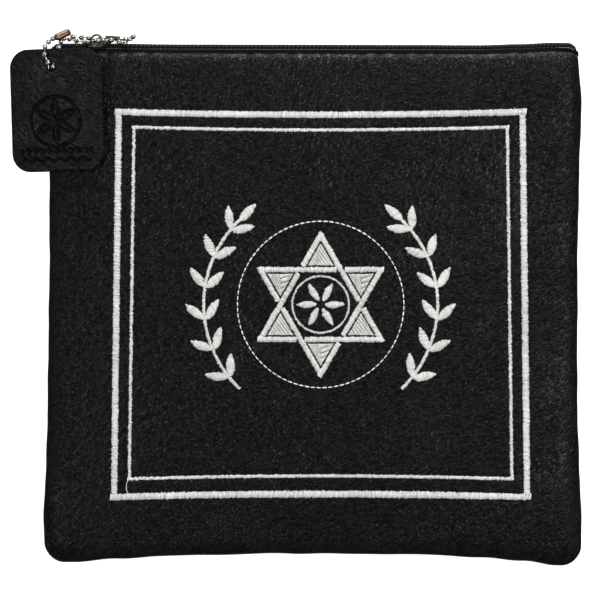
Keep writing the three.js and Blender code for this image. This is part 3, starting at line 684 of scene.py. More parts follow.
@dataclass
class LeatherPanel:
    """One of the two leather faces: rolled at the sides and the bottom, folded at the top."""

    side: Side
    cell: float
    tuck: float = 24.0
    leather: float = 1.5
    roll_steps: int = 14
    fold_steps: int = 7
    rim: float = 3.4
    rim_push: float = 1.1
    pucker_out: float = 0.2
    pucker_up: float = 0.4
    wobble: float = 0.25
    rub_reach: float = 1.6

    def lines(self, half: float, low: float, high: float, high_is_fold: bool) -> tuple[Array, ...]:
        """Grid lines across the panel one way.

        Args:
            half: half the panel's size that way.
            low: depth of the roll at the low end.
            high: depth of the roll or fold at the high end.
            high_is_fold: True if the high end is the folded edge.

        Returns:
            Places, shares of the rolls' rise, and shares of the fold's rise.
        """
        start = math.radians(self.tuck)
        theta = np.linspace(-start, math.pi / 2, self.roll_steps)
        rise = (np.sin(theta) + math.sin(start)) / (1 + math.sin(start))
        low_end = low * (1 - np.cos(theta)) - half
        if high_is_fold:
            turn = np.linspace(math.pi / 2, 0, self.fold_steps)
            high_end, high_rise, fold = half - high * (1 - np.cos(turn)), np.ones(len(turn)), np.sin(turn)
        else:
            high_end, high_rise, fold = -low_end[::-1], rise[::-1], np.ones(len(theta))
        first, last = low_end[-1], high_end[0]
        face = np.linspace(first, last, round((last - first) / self.cell) + 1)[1:-1]
        return (np.concatenate([low_end, face, high_end]),
                np.concatenate([rise, np.ones(len(face)), high_rise]),
                np.concatenate([np.ones(len(rise) + len(face)), fold]))

    def rounded(self, x: Array, y: Array) -> tuple[Array, Array]:
        """Rounds the plain rectangle's corners."""
        for radius, where in ((FORM.low_corner, y < 0), (FORM.high_corner, y >= 0)):
            a = (np.abs(x) - (FORM.half_w - radius)) / radius
            b = (np.abs(y) - (FORM.half_h - radius)) / radius
            inside = where & (a > 0) & (b > 0)
            a, b = np.clip(a, 0, 1), np.clip(b, 0, 1)
            new_x = np.sign(x) * (FORM.half_w - radius + radius * a * np.sqrt(1 - b * b / 2))
            new_y = np.sign(y) * (FORM.half_h - radius + radius * b * np.sqrt(1 - a * a / 2))
            x, y = np.where(inside, new_x, x), np.where(inside, new_y, y)
        return x, y

    def build(self, name: str, material: Material, replaces: str) -> None:
        """Builds the panel's outer skin and gives it the leather's thickness.

        Args:
            name: the piece's name.
            material: its finish.
            replaces: the CAD node that it stands for.
        """
        front, base = self.side is Side.FRONT, FORM.gap / 2
        xs, rise_x, _ = self.lines(FORM.half_w, FORM.roll, FORM.roll, False)
        ys, rise_y, fold_y = self.lines(FORM.half_h, FORM.roll, FORM.fold_roll, True)
        x, y = np.meshgrid(xs, ys)
        share_x, share_y = np.meshgrid(rise_x, rise_y)
        below = FORM.half_h - y
        rim = np.exp(-below / self.rim)
        edge = rim * FORM.open_share(x)
        pucker = ripple(x, (3, 11), 8, 21 if front else 22)
        crest = np.full_like(x, FORM.seam)
        if front:
            crest = FORM.rise + FORM.swell(x, y) + FORM.relief(x, y) + self.pucker_up * pucker * edge
        root = FORM.fold_root(x, crest)
        height = np.where(y > 0, root + (crest - root) * fold_y[:, None], base + (crest - base) * share_y)
        height = base + (height - base) * share_x
        plan_x, plan_y = FORM.bend(*self.rounded(x, y))
        plan_x = plan_x + np.sign(x) * (ripple(y, (14, 40), 5, 31) * (1 - share_x) * self.wobble)
        plan_y = (plan_y + self.rim_push * rim + self.pucker_out * pucker * edge
                  - ripple(x, (14, 40), 5, 33) * (1 - share_y) * self.wobble)
        faces = grid_faces(len(ys), len(xs))
        tucked = np.sum(np.linspace(-self.tuck, 90, self.roll_steps) < 0)
        row, column = faces[:, 0] // len(xs), faces[:, 0] % len(xs)
        faces = faces[~((row < tucked) & ((column < tucked) | (column >= len(xs) - 1 - tucked)))]
        parts = MeshParts()
        parts.add(np.stack([plan_x, plan_y, FORM.seam + self.side.value * height], -1),
                  faces if front else faces[:, ::-1])
        made = parts.build(name, material, Slot.LEATHER, replaces)
        store_rub(made, (np.exp(-below / self.rub_reach) * (0.6 + 0.4 * pucker)).clip(0, 1))
        thick = made.modifiers.new("leather", "SOLIDIFY")
        thick.thickness, thick.offset = self.leather * MM, -1


# Embroidery


@dataclass
class Embroidery:
    """Collects stitches of one embroidered piece and lays them on the front."""

    seed: int
    points: int = 5
    sides: int = 5
    sink: float = 0.22
    loft_range: Pair = (0.68, 1.15)
    width_range: Pair = (0.78, 1.14)
    uneven_end: float = 0.15
    uneven_pitch: float = 0.06

    def __post_init__(self) -> None:
        """Starts an empty piece with its own random draws."""
        self.parts = MeshParts()
        self.rng = np.random.default_rng(self.seed)

    def lay(self, start: Array, stop: Array, loft: float, wide: float) -> None:
        """Lays one thread from each start to each stop.

        Args:
            start: where the threads come up, in the plane of the front.
            stop: where they go down.
            loft: how high they stand in the middle.
            wide: half the thread's width.
        """
        share = 0.5 - 0.5 * np.cos(np.linspace(0, math.pi, self.points))
        plan = start[:, None, :] + (stop - start)[:, None, :] * share[None, :, None]
        arch = np.sin(share * math.pi) ** 0.55
        lofts = loft * self.rng.uniform(*self.loft_range, len(start))
        z = FORM.front(plan[..., 0], plan[..., 1]) - self.sink + (lofts[:, None] + 0.1) * arch[None, :]
        half = wide * (0.65 + 0.35 * arch)[None, :] * self.rng.uniform(*self.width_range, (len(start), 1))
        rings = sections(np.concatenate([plan, z[..., None]], -1), half, half * 0.8, self.sides)
        offsets = np.arange(len(rings))[:, None, None] * self.points * self.sides
        first = np.arange(self.sides)
        ends = np.array([first[::-1], (self.points - 1) * self.sides + first])
        faces = (grid_faces(self.points, self.sides, wrap=True)[None] + offsets).reshape(-1, 4).tolist()
        self.parts.add(rings, faces + (ends[None] + offsets).reshape(-1, self.sides).tolist())

    def satin(self, path: Array, width: Array | float, pitch: float = 0.43,
              slant: float = 0.12, loft: float = 0.42) -> None:
        """Lays satin stitches side by side across a line.

        Args:
            path: the line's points.
            width: its width, or the width at each of the path's points.
            pitch: distance between stitches.
            slant: how far a stitch leans along the line, as a share of its width.
            loft: how high the band stands.
        """
        run = distances(path)
        count = max(2, int(run[-1] / pitch))
        at = np.linspace(0, run[-1], count) + self.rng.normal(0, self.uneven_pitch * pitch, count)
        middle = read_off(at, run, path)
        ahead = unit(read_off(at, run, np.gradient(path, run, axis=0)))
        across = np.stack([-ahead[:, 1], ahead[:, 0]], 1)
        wide = np.interp(at, run, np.broadcast_to(width, len(path))) / 2
        ends = []
        for sign in (-1, 1):
            reach = (wide + self.rng.normal(0, self.uneven_end, count))[:, None] * sign
            ends.append(middle + across * reach + ahead * reach * slant)
        self.lay(*ends, loft, pitch * 0.54)

    def strand(self, path: Array, wide: float = 0.14) -> None:
        """Lays one loose thread along a line."""
        half = np.full(len(path), wide)
        path = np.column_stack([path, FORM.front(*path.T) + wide])
        self.parts.tube(sections(path, half, half, 6))

    def running(self, path: Array, dash: float = 2.1, gap: float = 0.5, wide: float = 0.34) -> None:
        """Lays single stitches in a row along a line, by their length, gap and half width."""
        run = distances(path)
        count = max(1, round(run[-1] / (dash + gap)))
        starts = np.arange(count) * run[-1] / count
        ends = [read_off(starts + shift, run, path) for shift in (0, run[-1] / count - gap)]
        self.lay(*ends, 0.34, wide)

    def fill(self, corners: Array, angle: float, row: float = 0.42, stitch: float = 2.2,
             shortest: float = 0.35, step: float = 0.27) -> None:
        """Fills a convex shape with rows of stitches whose ends step from row to row.

        Args:
            corners: the shape's corners, counter-clockwise.
            angle: the way of the rows in degrees.
            row: distance between rows.
            stitch: length of a stitch.
            shortest: stitches under this length are left out.
            step: how far the ends step, as a share of a stitch.
        """
        way = heading(angle)
        aside = np.array([-way[1], way[0]])
        starts, stops = [], []
        reach = corners @ aside
        for number, level in enumerate(np.arange(reach.min() + row / 2, reach.max(), row)):
            cuts = []
            for a, b in zip(corners, np.roll(corners, -1, axis=0)):
                low, high = a @ aside - level, b @ aside - level
                if low * high < 0:
                    cuts.append((a + (b - a) * low / (low - high)) @ way)
            if len(cuts) < 2:
                continue
            low, high = min(cuts), max(cuts)
            first = low - stitch + (number * step * stitch) % stitch
            marks = np.clip(np.arange(first, high + stitch, stitch), low, high)
            for a, b in zip(marks[:-1], marks[1:]):
                if b - a > shortest:
                    starts.append(way * a + aside * level)
                    stops.append(way * b + aside * level)
        self.lay(np.array(starts), np.array(stops), 0.3, row * 0.52)

    def build(self, name: str, material: Material, replaces: str) -> None:
        """Makes the piece."""
        self.parts.build(name, material, Slot.THREAD, replaces)


@dataclass
class StitchedBorder:
    """The two bands of the double border."""

    seeds: tuple[int, int] = (5, 6)
    loose_end: tuple = (0.9, 1.5, 0.6, 7.0)

    def band(self, inset: float, low_inset: float, width: float, seed: int) -> Embroidery:
        """Stitches one band, its upright sides between its level ones.

        Args:
            inset: how far the band's outside is drawn in.
            low_inset: the same at the bottom.
            width: the band's width.
            seed: fixes its unevenness.

        Returns:
            The stitches.
        """
        sewn = Embroidery(seed)
        for run in range(4):
            line = BORDER.side(run, inset + width / 2, low_inset + width / 2, np.linspace(0, 1, 40))
            past = unit(line[-1:] - line[:1]) * width / 2
            if run in (0, 2):
                line = np.vstack([line[:1] - past, line, line[-1:] + past])
            else:
                line = np.vstack([line[:1] + past, line[1:-1], line[-1:] - past])
            sewn.satin(line, width)
        return sewn

    def build(self, thread: Material) -> None:
        """Makes both bands, and the loose thread at a lower corner."""
        outer = self.band(0, 0, BORDER.band, self.seeds[0])
        outer.build("border_outer_stitches", thread, "border_outer")
        inner = self.band(BORDER.inset, BORDER.low_inset, BORDER.inner_band, self.seeds[1])
        corner = BORDER.side(0, BORDER.inset, BORDER.low_inset, np.zeros(1))[0]
        share = np.linspace(0, 1, 24)
        right, bow, up, length = self.loose_end
        bends = np.stack([right - bow * np.sin(math.pi * share) ** 0.6, up - length * share], 1)
        inner.strand(corner + bends)
        inner.build("border_inner_stitches", thread, "border_inner")


@dataclass
class StitchedOrnament:
    """A woven six-pointed star in a ring of running stitch, between two leafy branches."""

    radius: float = 31.0
    band: float = 2.6
    spare: float = 0.9
    point_gap: float = 1.1
    petal: tuple = (2.0, 8.6, 3.3)
    rosette_ring: float = 12.6
    ring: float = 37.0
    branch: float = 52.0
    branch_turn: float = 46.0
    stem: float = 1.5
    pairs: int = 6
    leaf_spread: float = 0.85
    leaf_lean: float = 42.0
    leaf_away: float = 0.9
    leaf_size: Pair = (10.2, 4.3)
    seeds: tuple[int, int] = (9, 14)

    def polar(self, radius: float, degrees: Array | float) -> Array:
        """Points by distance and direction from the ornament's middle."""
        return radius * heading(degrees) + [BORDER.shift_x, BORDER.shift_y]

    def star(self, sewn: Embroidery) -> None:
        """Stitches the star's two triangles so that they pass over and under each other."""
        spare = (self.band + self.spare) / 2 / math.cos(math.radians(30)) / (self.radius * math.sqrt(3))
        for tip in (90, 270):
            corners = self.polar(self.radius, np.array([tip, tip + 120, tip + 240]))
            for start, stop in zip(corners, np.roll(corners, -1, axis=0)):
                for low, high in ((-0.02, 1 / 3 - spare), (1 / 3 + spare, 1.0)):
                    share = np.linspace(low, high, 12)[:, None]
                    sewn.satin(start + (stop - start) * share, self.band)
        for number in range(6):
            self.point(sewn, 30 + 60 * number)

    def point(self, sewn: Embroidery, tip: float) -> None:
        """Fills one point of the star with stepped rows."""
        side = self.radius / math.sqrt(3)
        middle = self.polar(2 * side / math.sqrt(3), tip)
        size = side / math.sqrt(3) - self.band - self.point_gap
        sewn.fill(middle + size * heading(np.array([0, 120, 240]) + tip), 90)

    def rosette(self, sewn: Embroidery) -> None:
        """Stitches the six-petalled rosette and its thin ring."""
        root, *size = self.petal
        for turn in range(0, 360, 60):
            self.leaf(sewn, self.polar(root, turn), turn, *size)
        sewn.satin(self.polar(self.rosette_ring, np.linspace(0, 360, 60)), 0.9, 0.4, loft=0.3)

    def leaf(self, sewn: Embroidery, start: Array, degrees: float, length: float, width: float) -> None:
        """Stitches one pointed leaf in satin."""
        share = np.linspace(0.02, 0.98, 16)
        line = start + share[:, None] * length * heading(degrees)
        sewn.satin(line, width * np.sin(math.pi * share**0.85) ** 0.8 + 0.25, 0.4, slant=0.35, loft=0.36)

    def twig(self, side: int) -> Embroidery:
        """Stitches one branch: a curved stem with pairs of leaves and one at its tip.

        Args:
            side: 1 for the right branch, -1 for the left one.

        Returns:
            The stitches.
        """
        sewn = Embroidery(self.seeds[1] + side)
        middle = 0 if side > 0 else 180
        turns = np.linspace(-self.branch_turn, self.branch_turn, 60)
        sewn.satin(self.polar(self.branch, middle + turns * side), self.stem, 0.4, loft=0.34)
        for turn in np.linspace(-1, 1, self.pairs) * self.branch_turn * self.leaf_spread:
            at = self.polar(self.branch, middle + turn * side)
            for lean in (-self.leaf_lean, self.leaf_lean):
                way = middle + (turn + 90) * side + lean
                self.leaf(sewn, at + self.leaf_away * heading(way), way, *self.leaf_size)
        end = self.polar(self.branch, middle + self.branch_turn * side)
        self.leaf(sewn, end, middle + (self.branch_turn + 90) * side, *self.leaf_size)
        return sewn

    def build(self, thread: Material) -> None:
        """Makes the star and its surroundings, and the two branches."""
        sewn = Embroidery(self.seeds[0])
        self.star(sewn)
        self.rosette(sewn)
        sewn.running(self.polar(self.ring, np.linspace(0, 360, 240)))
        sewn.build("ornament_star_stitches", thread, "motif_star")
        for side, name in ((-1, "left"), (1, "right")):
            self.twig(side).build(f"ornament_branch_{name}", thread, f"motif_branch_{name}")


# The zip


@dataclass
class ZipFastener:
    """Tapes, coil, slider and puller along the top edge."""

    stand: float = 5.2
    coil_width: float = 4.4
    coil_thickness: float = 1.8
    pitch: float = 1.85
    end: float = 0.7
    drop: float = 3.2
    drop_run: float = 5.0
    tape: float = 0.6
    hold: float = 7.0
    tape_end: float = 0.4
    post: float = 1.1
    slider_x: float = -96.3
    slider_reach: float = 2.6
    middle: Pair = (0.86, 0.66)
    loop: Pair = (0.98, 0.45)
    wire: float = 0.34
    wire_steps: int = 14
    cord: Pair = (0.55, 0.45)
    cord_depth: float = 0.62
    sewing_drop: float = 0.45
    bevels: tuple = (("zip_slider", 0.16), ("zip_puller", 0.14))

    def top(self, x: Array) -> Array:
        """Height of the coil's outer edge along +Y, turned down at both ends."""
        past = np.abs(x) - (FORM.half_w - self.tape_end - self.drop_run)
        drop = self.drop * np.clip(past / self.drop_run, 0, 1) ** 2.6
        return FORM.fold_line(x) + self.stand - drop

    def parted(self, x: Array) -> Array:
        """How far the slider's post parts the two coils, from 0 to 1."""
        return np.exp(-((x - self.slider_x) / self.slider_reach) ** 4)

    def tape_strip(self, side: Side) -> MeshParts:
        """Lofts one tape from inside the pouch up to the coil.

        Args:
            side: the panel that the tape is sewn to.

        Returns:
            The tape.
        """
        x = np.linspace(-(FORM.half_w - self.tape_end), FORM.half_w - self.tape_end, 300)
        foot = self.top(x) - self.coil_thickness + 0.25 - self.tape / 2
        outward = np.clip(np.abs(x) + 1.8, 0, FORM.half_w - FORM.high_corner)
        crest = FORM.seam
        if side is Side.FRONT:
            crest = FORM.rise + FORM.swell(x, np.full_like(x, FORM.half_h - 2))
        under = np.maximum(FORM.fold_root(outward, crest) - 0.35 - self.tape / 2, 0.25)
        under = under + 0.12 * ripple(x, (8, 26), 5, 41 + side.value)
        knee = np.clip(np.minimum(self.coil_width / 2 + 0.3, under), self.post + 0.2, None)
        fold = FORM.fold_line(x)
        keys = [(foot, np.full_like(x, self.post)), (foot, knee * 0.75), (foot - 0.35, knee),
                (fold + 1.2, knee * 0.45 + under * 0.55), (fold, under), (fold - self.hold, under)]
        path = np.stack([FORM.at_top(x, y, side.value * z) for y, z in keys], 1)
        away = np.gradient(path, axis=1)
        aside = unit(np.stack([0 * away[..., 0], -away[..., 2], away[..., 1]], -1)) * self.tape / 2
        rings = np.concatenate([path + aside, (path - aside)[:, ::-1]], 1)
        parts = MeshParts()
        parts.tube(rings if side is Side.BACK else rings[:, ::-1])
        return parts

    def coil(self) -> MeshParts:
        """Winds the two coils, each tooth one loop of nylon round a filler cord.

        Returns:
            Both coils and their cords.
        """
        parts = MeshParts()
        reach = FORM.half_w - self.end
        teeth = round(2 * reach / self.pitch)
        turn = np.linspace(0, teeth, teeth * self.wire_steps + 1)
        for sign in (-1, 1):
            x = -reach + turn * self.pitch + (self.pitch / 2 if sign > 0 else 0) - self.pitch / 4
            x = np.clip(x, -reach, reach)
            spread = self.parted(x)
            loop = (self.loop[0] - self.loop[1] * spread) * np.cos(TURN * turn)
            z = sign * (self.middle[0] + self.middle[1] * spread + loop)
            half = self.coil_thickness / 2
            y = self.top(x) - half + (half - 0.12) * np.sin(TURN * turn)
            wire = np.full(len(x), self.wire)
            parts.tube(sections(FORM.at_top(x, y, z), wire, wire, 6, (1, 0, 0)))
            x = np.linspace(-reach + 0.3, reach - 0.3, 260)
            y = self.top(x) - self.coil_thickness * self.cord_depth
            path = FORM.at_top(x, y, sign * (self.middle[0] + self.middle[1] * self.parted(x)))
            parts.tube(sections(path, *(np.full(len(x), half) for half in self.cord), 8))
        return parts

    def sewing_lines(self) -> MeshParts:
        """Lays the two cords of thread that hold the coil to the tapes' bends; their grey colour is partly
        painted highlight on the bends.
        """
        parts = MeshParts()
        x = np.linspace(-(FORM.half_w - 2), FORM.half_w - 2, 500)
        y = self.top(x) - self.coil_thickness - self.sewing_drop + 0.05 * np.sin(x * TURN / 0.9)
        half = 0.2 + 0.03 * np.sin(x * TURN / self.pitch)
        for side in Side:
            path = FORM.at_top(x, y, side.value * (self.coil_width / 2 + 0.45))
            parts.tube(sections(path, half, half, 6))
        return parts

    def refine(self, node: str, material: Material, bevel: float) -> None:
        """Rounds a carried-over part's edges and gives it its finish."""
        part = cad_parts[node]
        part.data.materials.clear()
        part.data.materials.append(material)
        part.modifiers.new("weld", "WELD").merge_threshold = 0.01 * MM
        round_off = part.modifiers.new("rounded edges", "BEVEL")
        round_off.width, round_off.segments = bevel * MM, 2
        round_off.limit_method, round_off.angle_limit = "ANGLE", math.radians(40)

    def build(self, tape: Material, nylon: Material, metal: Material, sewing: Material) -> None:
        """Makes the zip's pieces."""
        self.sewing_lines().build("coil_sewing_lines", sewing, Slot.COIL)
        for side, name in ((Side.FRONT, "front"), (Side.BACK, "back")):
            self.tape_strip(side).build(f"woven_tape_{name}", tape, Slot.TAPE, f"zip_tape_{name}")
        self.coil().build("nylon_coil", nylon, Slot.COIL, "zip_coil")
        for node, bevel in self.bevels:
            self.refine(node, metal, bevel)


# The chain and the fob


@dataclass
class BallChain:
    """Ball chain from the fob's hole through the puller's eye, with its split connector."""

    bead: float = 1.2
    bead_rim: Pair = (0.25, 0.9)
    pitch: float = 3.7
    link: float = 0.3
    bore: float = 1.5
    wall: float = 0.35
    length: float = 7.4
    slot: float = 90.0
    sleeve_at: tuple = (0, 0.2, 0.36, 0.42, 0.46, 0.49, 0.5)
    sleeve_narrow: tuple = (1, 1, 1, 0.95, 0.84, 0.74, 0.7)
    corner: tuple = (-120.0, 118.3, 7.0)
    up: tuple = ((4.7, -9.8, 11.3), (2.6, -8, 14.1), (1.1, -4.8, 14.2), (1.1, -1.1, 13.3),
                 (2.7, 1.3, 10.4), (4.6, 2.9, 7.2), (7.2, 3.8, 5))
    near: tuple = ((10.1, 5.2, 3.6), (12.5, 4.2, 2.5), (15.9, 3.6, 2.3), (19.6, 3.4, 3.9),
                   (22.4, 2.4, 5.8), (25.6, 2.1, 7), (28.4, 2.5, 7.4), (31.4, 1.9, 7),
                   (34.2, 1.2, 6.4), (36.5, 0.9, 3.9), (36.9, 2.25, 0.4))
    far: tuple = ((36.9, 2.25, 0.4), (40.3, 4.2, -0.4), (39.4, 3.8, -4), (35.4, 3, -5.7),
                  (31, 2.4, -5.8), (24, 1.8, -5.8), (17, 2, -5.6), (13, 2.6, -4.2), (9.9, 3.3, -1.3),
                  (8.2, 2.5, 2.1), (7.2, -0.6, 4.9), (6.4, -4.2, 6.8), (5.6, -7.4, 8), (4.7, -9.8, 11.3))

    def strand(self, route: tuple) -> Array:
        """Bead centres of one strand."""
        return smooth_points(np.array(route, float), self.pitch) + self.corner

    def chain(self) -> MeshParts:
        """Turns each bead, with a rim where the link goes in, and the links between them.

        Returns:
            All beads and links.
        """
        parts = MeshParts()
        centres = np.vstack([self.strand(self.near), self.strand(self.far)[1:-1], self.strand(self.up)])
        turn = np.linspace(math.radians(15), math.radians(165), 13)
        reach = self.bead * np.sin(turn)
        rim, narrow = self.bead_rim
        wide = np.concatenate([[reach[0] * narrow], reach, [reach[-1] * narrow]])
        for centre, way in zip(centres, unit(np.gradient(centres, axis=0))):
            line = centre - way * (self.bead * np.cos(turn))[:, None]
            line = np.vstack([line[:1] + way * rim, line, line[-1:] - way * rim])
            parts.tube(self.rings(line, way, wide, 20))
        wide = self.link * np.array([1, 1, 0.92, 0.86, 0.92, 1, 1])
        for start, stop in zip(centres[:-1], centres[1:]):
            way, run = unit(stop - start), np.linalg.norm(stop - start)
            at = np.array([0.55, 1.12, 1.3, run / 2, run - 1.3, run - 1.12, run - 0.55])
            parts.tube(self.rings(start + way * at[:, None], way, wide, 10))
        return parts

    @staticmethod
    def rings(line: Array, way: Array, wide: Array, sides: int) -> Array:
        """Round sections square to one direction."""
        side = unit(np.cross(way, (0.2, 0.3, 1.0)))
        turn = np.arange(sides) * TURN / sides
        ring = np.cos(turn)[:, None] * side + np.sin(turn)[:, None] * np.cross(way, side)
        return line[:, None, :] + ring[None] * wide[:, None, None]

    def connector(self) -> MeshParts:
        """Rolls the split sleeve from one sheet of metal.

        Returns:
            The sleeve.
        """
        up, near = self.strand(self.up)[-1], self.strand(self.near)[0]
        middle, along = (up + near) / 2, unit(near - up)
        side = unit(np.array([0, 1, 0]) - along * along[1])
        across = np.cross(along, side)
        at, narrow = np.array(self.sleeve_at), np.array(self.sleeve_narrow)
        at = np.concatenate([-at[:0:-1], at])
        narrow = np.concatenate([narrow[:0:-1], narrow]) * self.bore
        half = math.radians(180 - self.slot / 2)
        turn = np.linspace(-half, half, 33)
        wheel = np.cos(turn)[:, None] * side + np.sin(turn)[:, None] * across
        line = middle + along * (at * self.length)[:, None]
        outer = line[:, None] + wheel * (narrow + self.wall)[:, None, None]
        inner = line[:, None] + wheel[::-1] * narrow[:, None, None]
        rings = np.concatenate([outer, inner], 1)
        count, sides = rings.shape[:2]
        faces = grid_faces(count, sides, wrap=True)[:, ::-1].tolist()
        for start, way in ((0, 1), ((count - 1) * sides, -1)):
            for i in range(len(turn) - 1):
                faces.append([start + i, start + i + 1, start + sides - 2 - i, start + sides - 1 - i][::way])
        parts = MeshParts()
        parts.add(rings, faces)
        return parts

    def build(self, metal: Material, bronze: Material) -> None:
        """Makes the chain and its connector."""
        self.chain().build("ball_chain_beads", metal, Slot.METAL, "ball_chain")
        self.connector().build("split_connector", bronze, Slot.BRONZE, "chain_connector")


@dataclass
class LeatherFob:
    """Thick curved leather tag with a punched hole."""

    width: float = 41.9
    height: float = 54.6
    thickness: float = 2.8
    corner: float = 8.6
    hole: float = 2.05
    hole_drop: float = 8.0
    hole_shift: float = -1.5
    hole_soft: Pair = (0.4, 0.3)
    turn: float = 1.6
    lean: float = 13.5
    curl: float = 21.0
    lift: float = 3.4
    soft: float = 0.7
    press: float = 0.85
    groove_rub: float = -0.1
    rosette_at: Pair = (-0.5, -5.2)
    rosette: float = 9.6
    groove: float = 0.46
    margin: float = 5.5
    lozenges_at: float = -18.2
    lozenge: tuple = (3.2, 1.35, 1.25)
    wave_at: float = -22.2
    wave: Pair = (0.75, 5.2)
    points: int = 480
    top_rows: int = 104
    low_rows: int = 12

    def bend(self, a: Array, b: Array, height: Array) -> Array:
        """Takes flat places and heights to the curved tag."""
        lean, turn = math.radians(self.lean), math.radians(self.turn)
        curl = math.radians(self.curl) / self.width
        slope = lean - a * curl
        run = (math.sin(lean) - np.sin(slope)) / curl - height * np.sin(slope)
        rise = (np.cos(slope) - math.cos(lean)) / curl + height * np.cos(slope)
        x = run * math.cos(turn) - b * math.sin(turn)
        y = run * math.sin(turn) + b * math.cos(turn)
        return np.stack([x, y, rise + self.lift * (b + self.height / 2) / self.height], -1)

    def pressed(self, a: Array, b: Array) -> Array:
        """Share of the pressed design: a ringed rosette over a row of lozenges and a wave.

        Args:
            a: flat places across the tag.
            b: flat places up the tag.

        Returns:
            The share of the full depth at each place.
        """
        x, y = a - self.rosette_at[0], b - self.rosette_at[1]
        away = np.hypot(x, y)
        lines = [np.abs(away - self.rosette * 1.16)]
        for at_x, at_y in self.rosette * heading(np.arange(6) * 60 + 30):
            petal = np.abs(np.hypot(x - at_x, y - at_y) - self.rosette)
            lines.append(petal + np.maximum(0, away - self.rosette))
        past = np.maximum(0, np.abs(x) - (self.width / 2 - self.margin))
        pitch, wide, tall = self.lozenge
        row = np.abs((x + pitch / 2) % pitch - pitch / 2) / wide + np.abs(b - self.lozenges_at) / tall
        lines.append((row - 0.7) + past)
        lines.append(np.abs(b - self.wave_at - self.wave[0] * np.sin(x * TURN / self.wave[1])) + past)
        return eased(np.clip((self.groove + 0.45 - np.min(lines, axis=0)) / 0.6, 0, 1))

    def outline(self, inset: float) -> Array:
        """Points round the tag.

        Args:
            inset: how far they are drawn in.

        Returns:
            The points, corner after side, counter-clockwise.
        """
        radius, count = self.corner - inset, self.points // 8
        reach = np.array([self.width / 2 - self.corner, self.height / 2 - self.corner])
        signs = ((1, -1), (1, 1), (-1, 1), (-1, -1))
        points = []
        for quarter, sign in enumerate(signs):
            arc = heading(np.linspace(0, 90, count) + 90 * (quarter - 1)) * radius + reach * sign
            goal = reach * signs[(quarter + 1) % 4] + radius * heading(90 * quarter)
            run = arc[-1] + (goal - arc[-1]) * np.linspace(0, 1, count + 2)[1:-1, None]
            points += [arc, run]
        return np.vstack(points)

    def build(self, leather: Material) -> None:
        """Makes the tag with rounded edges, in the place of the frame's solid.

        Args:
            leather: the tag's finish.
        """
        soft, thick = self.soft, self.thickness
        over, under = self.hole_soft
        hole_at = np.array([self.hole_shift, self.height / 2 - self.hole_drop])
        way = unit(self.outline(0) - hole_at)
        inside, edge = hole_at + way * (self.hole + over), self.outline(soft)
        quarter = np.linspace(0, math.pi / 2, 5)
        ways_in = list(zip(1 - np.cos(quarter), 1 - np.sin(quarter)))
        rows = [(self.outline(soft * a), thick - soft * b) for a, b in ways_in]
        rows += [(edge + (inside - edge) * share, thick) for share in np.linspace(0, 1, self.top_rows)[1:-1]]
        rows += [(hole_at + way * (self.hole + over * a), thick - over * b) for a, b in ways_in[::-1]]
        rows += [(hole_at + way * (self.hole + under * a), under * b) for a, b in ways_in]
        rows += [(inside + (edge - inside) * share, 0.0) for share in np.linspace(0, 1, self.low_rows)[1:-1]]
        rows += [(self.outline(soft * a), soft * b) for a, b in ways_in[::-1]]
        depth = [self.pressed(*plan.T) * (high == thick) for plan, high in rows]
        rings = np.stack([self.bend(*plan.T, high - self.press * deep)
                          for (plan, high), deep in zip(rows, depth)])
        low, high = (np.array(v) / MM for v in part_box("leather_fob"))
        rings += (low + high) / 2 - (rings.reshape(-1, 3).min(0) + rings.reshape(-1, 3).max(0)) / 2
        count, sides = rings.shape[:2]
        first = np.arange(sides)
        last, after = first + (count - 1) * sides, (first + 1) % sides
        closing = np.stack([last, after + (count - 1) * sides, after, first], 1)
        parts = MeshParts()
        parts.add(rings, np.vstack([grid_faces(count, sides, wrap=True), closing]))
        made = parts.build("leather_tag", leather, Slot.LEATHER, "leather_fob")
        store_rub(made, np.concatenate(depth) * self.groove_rub)


# Floor, light and camera


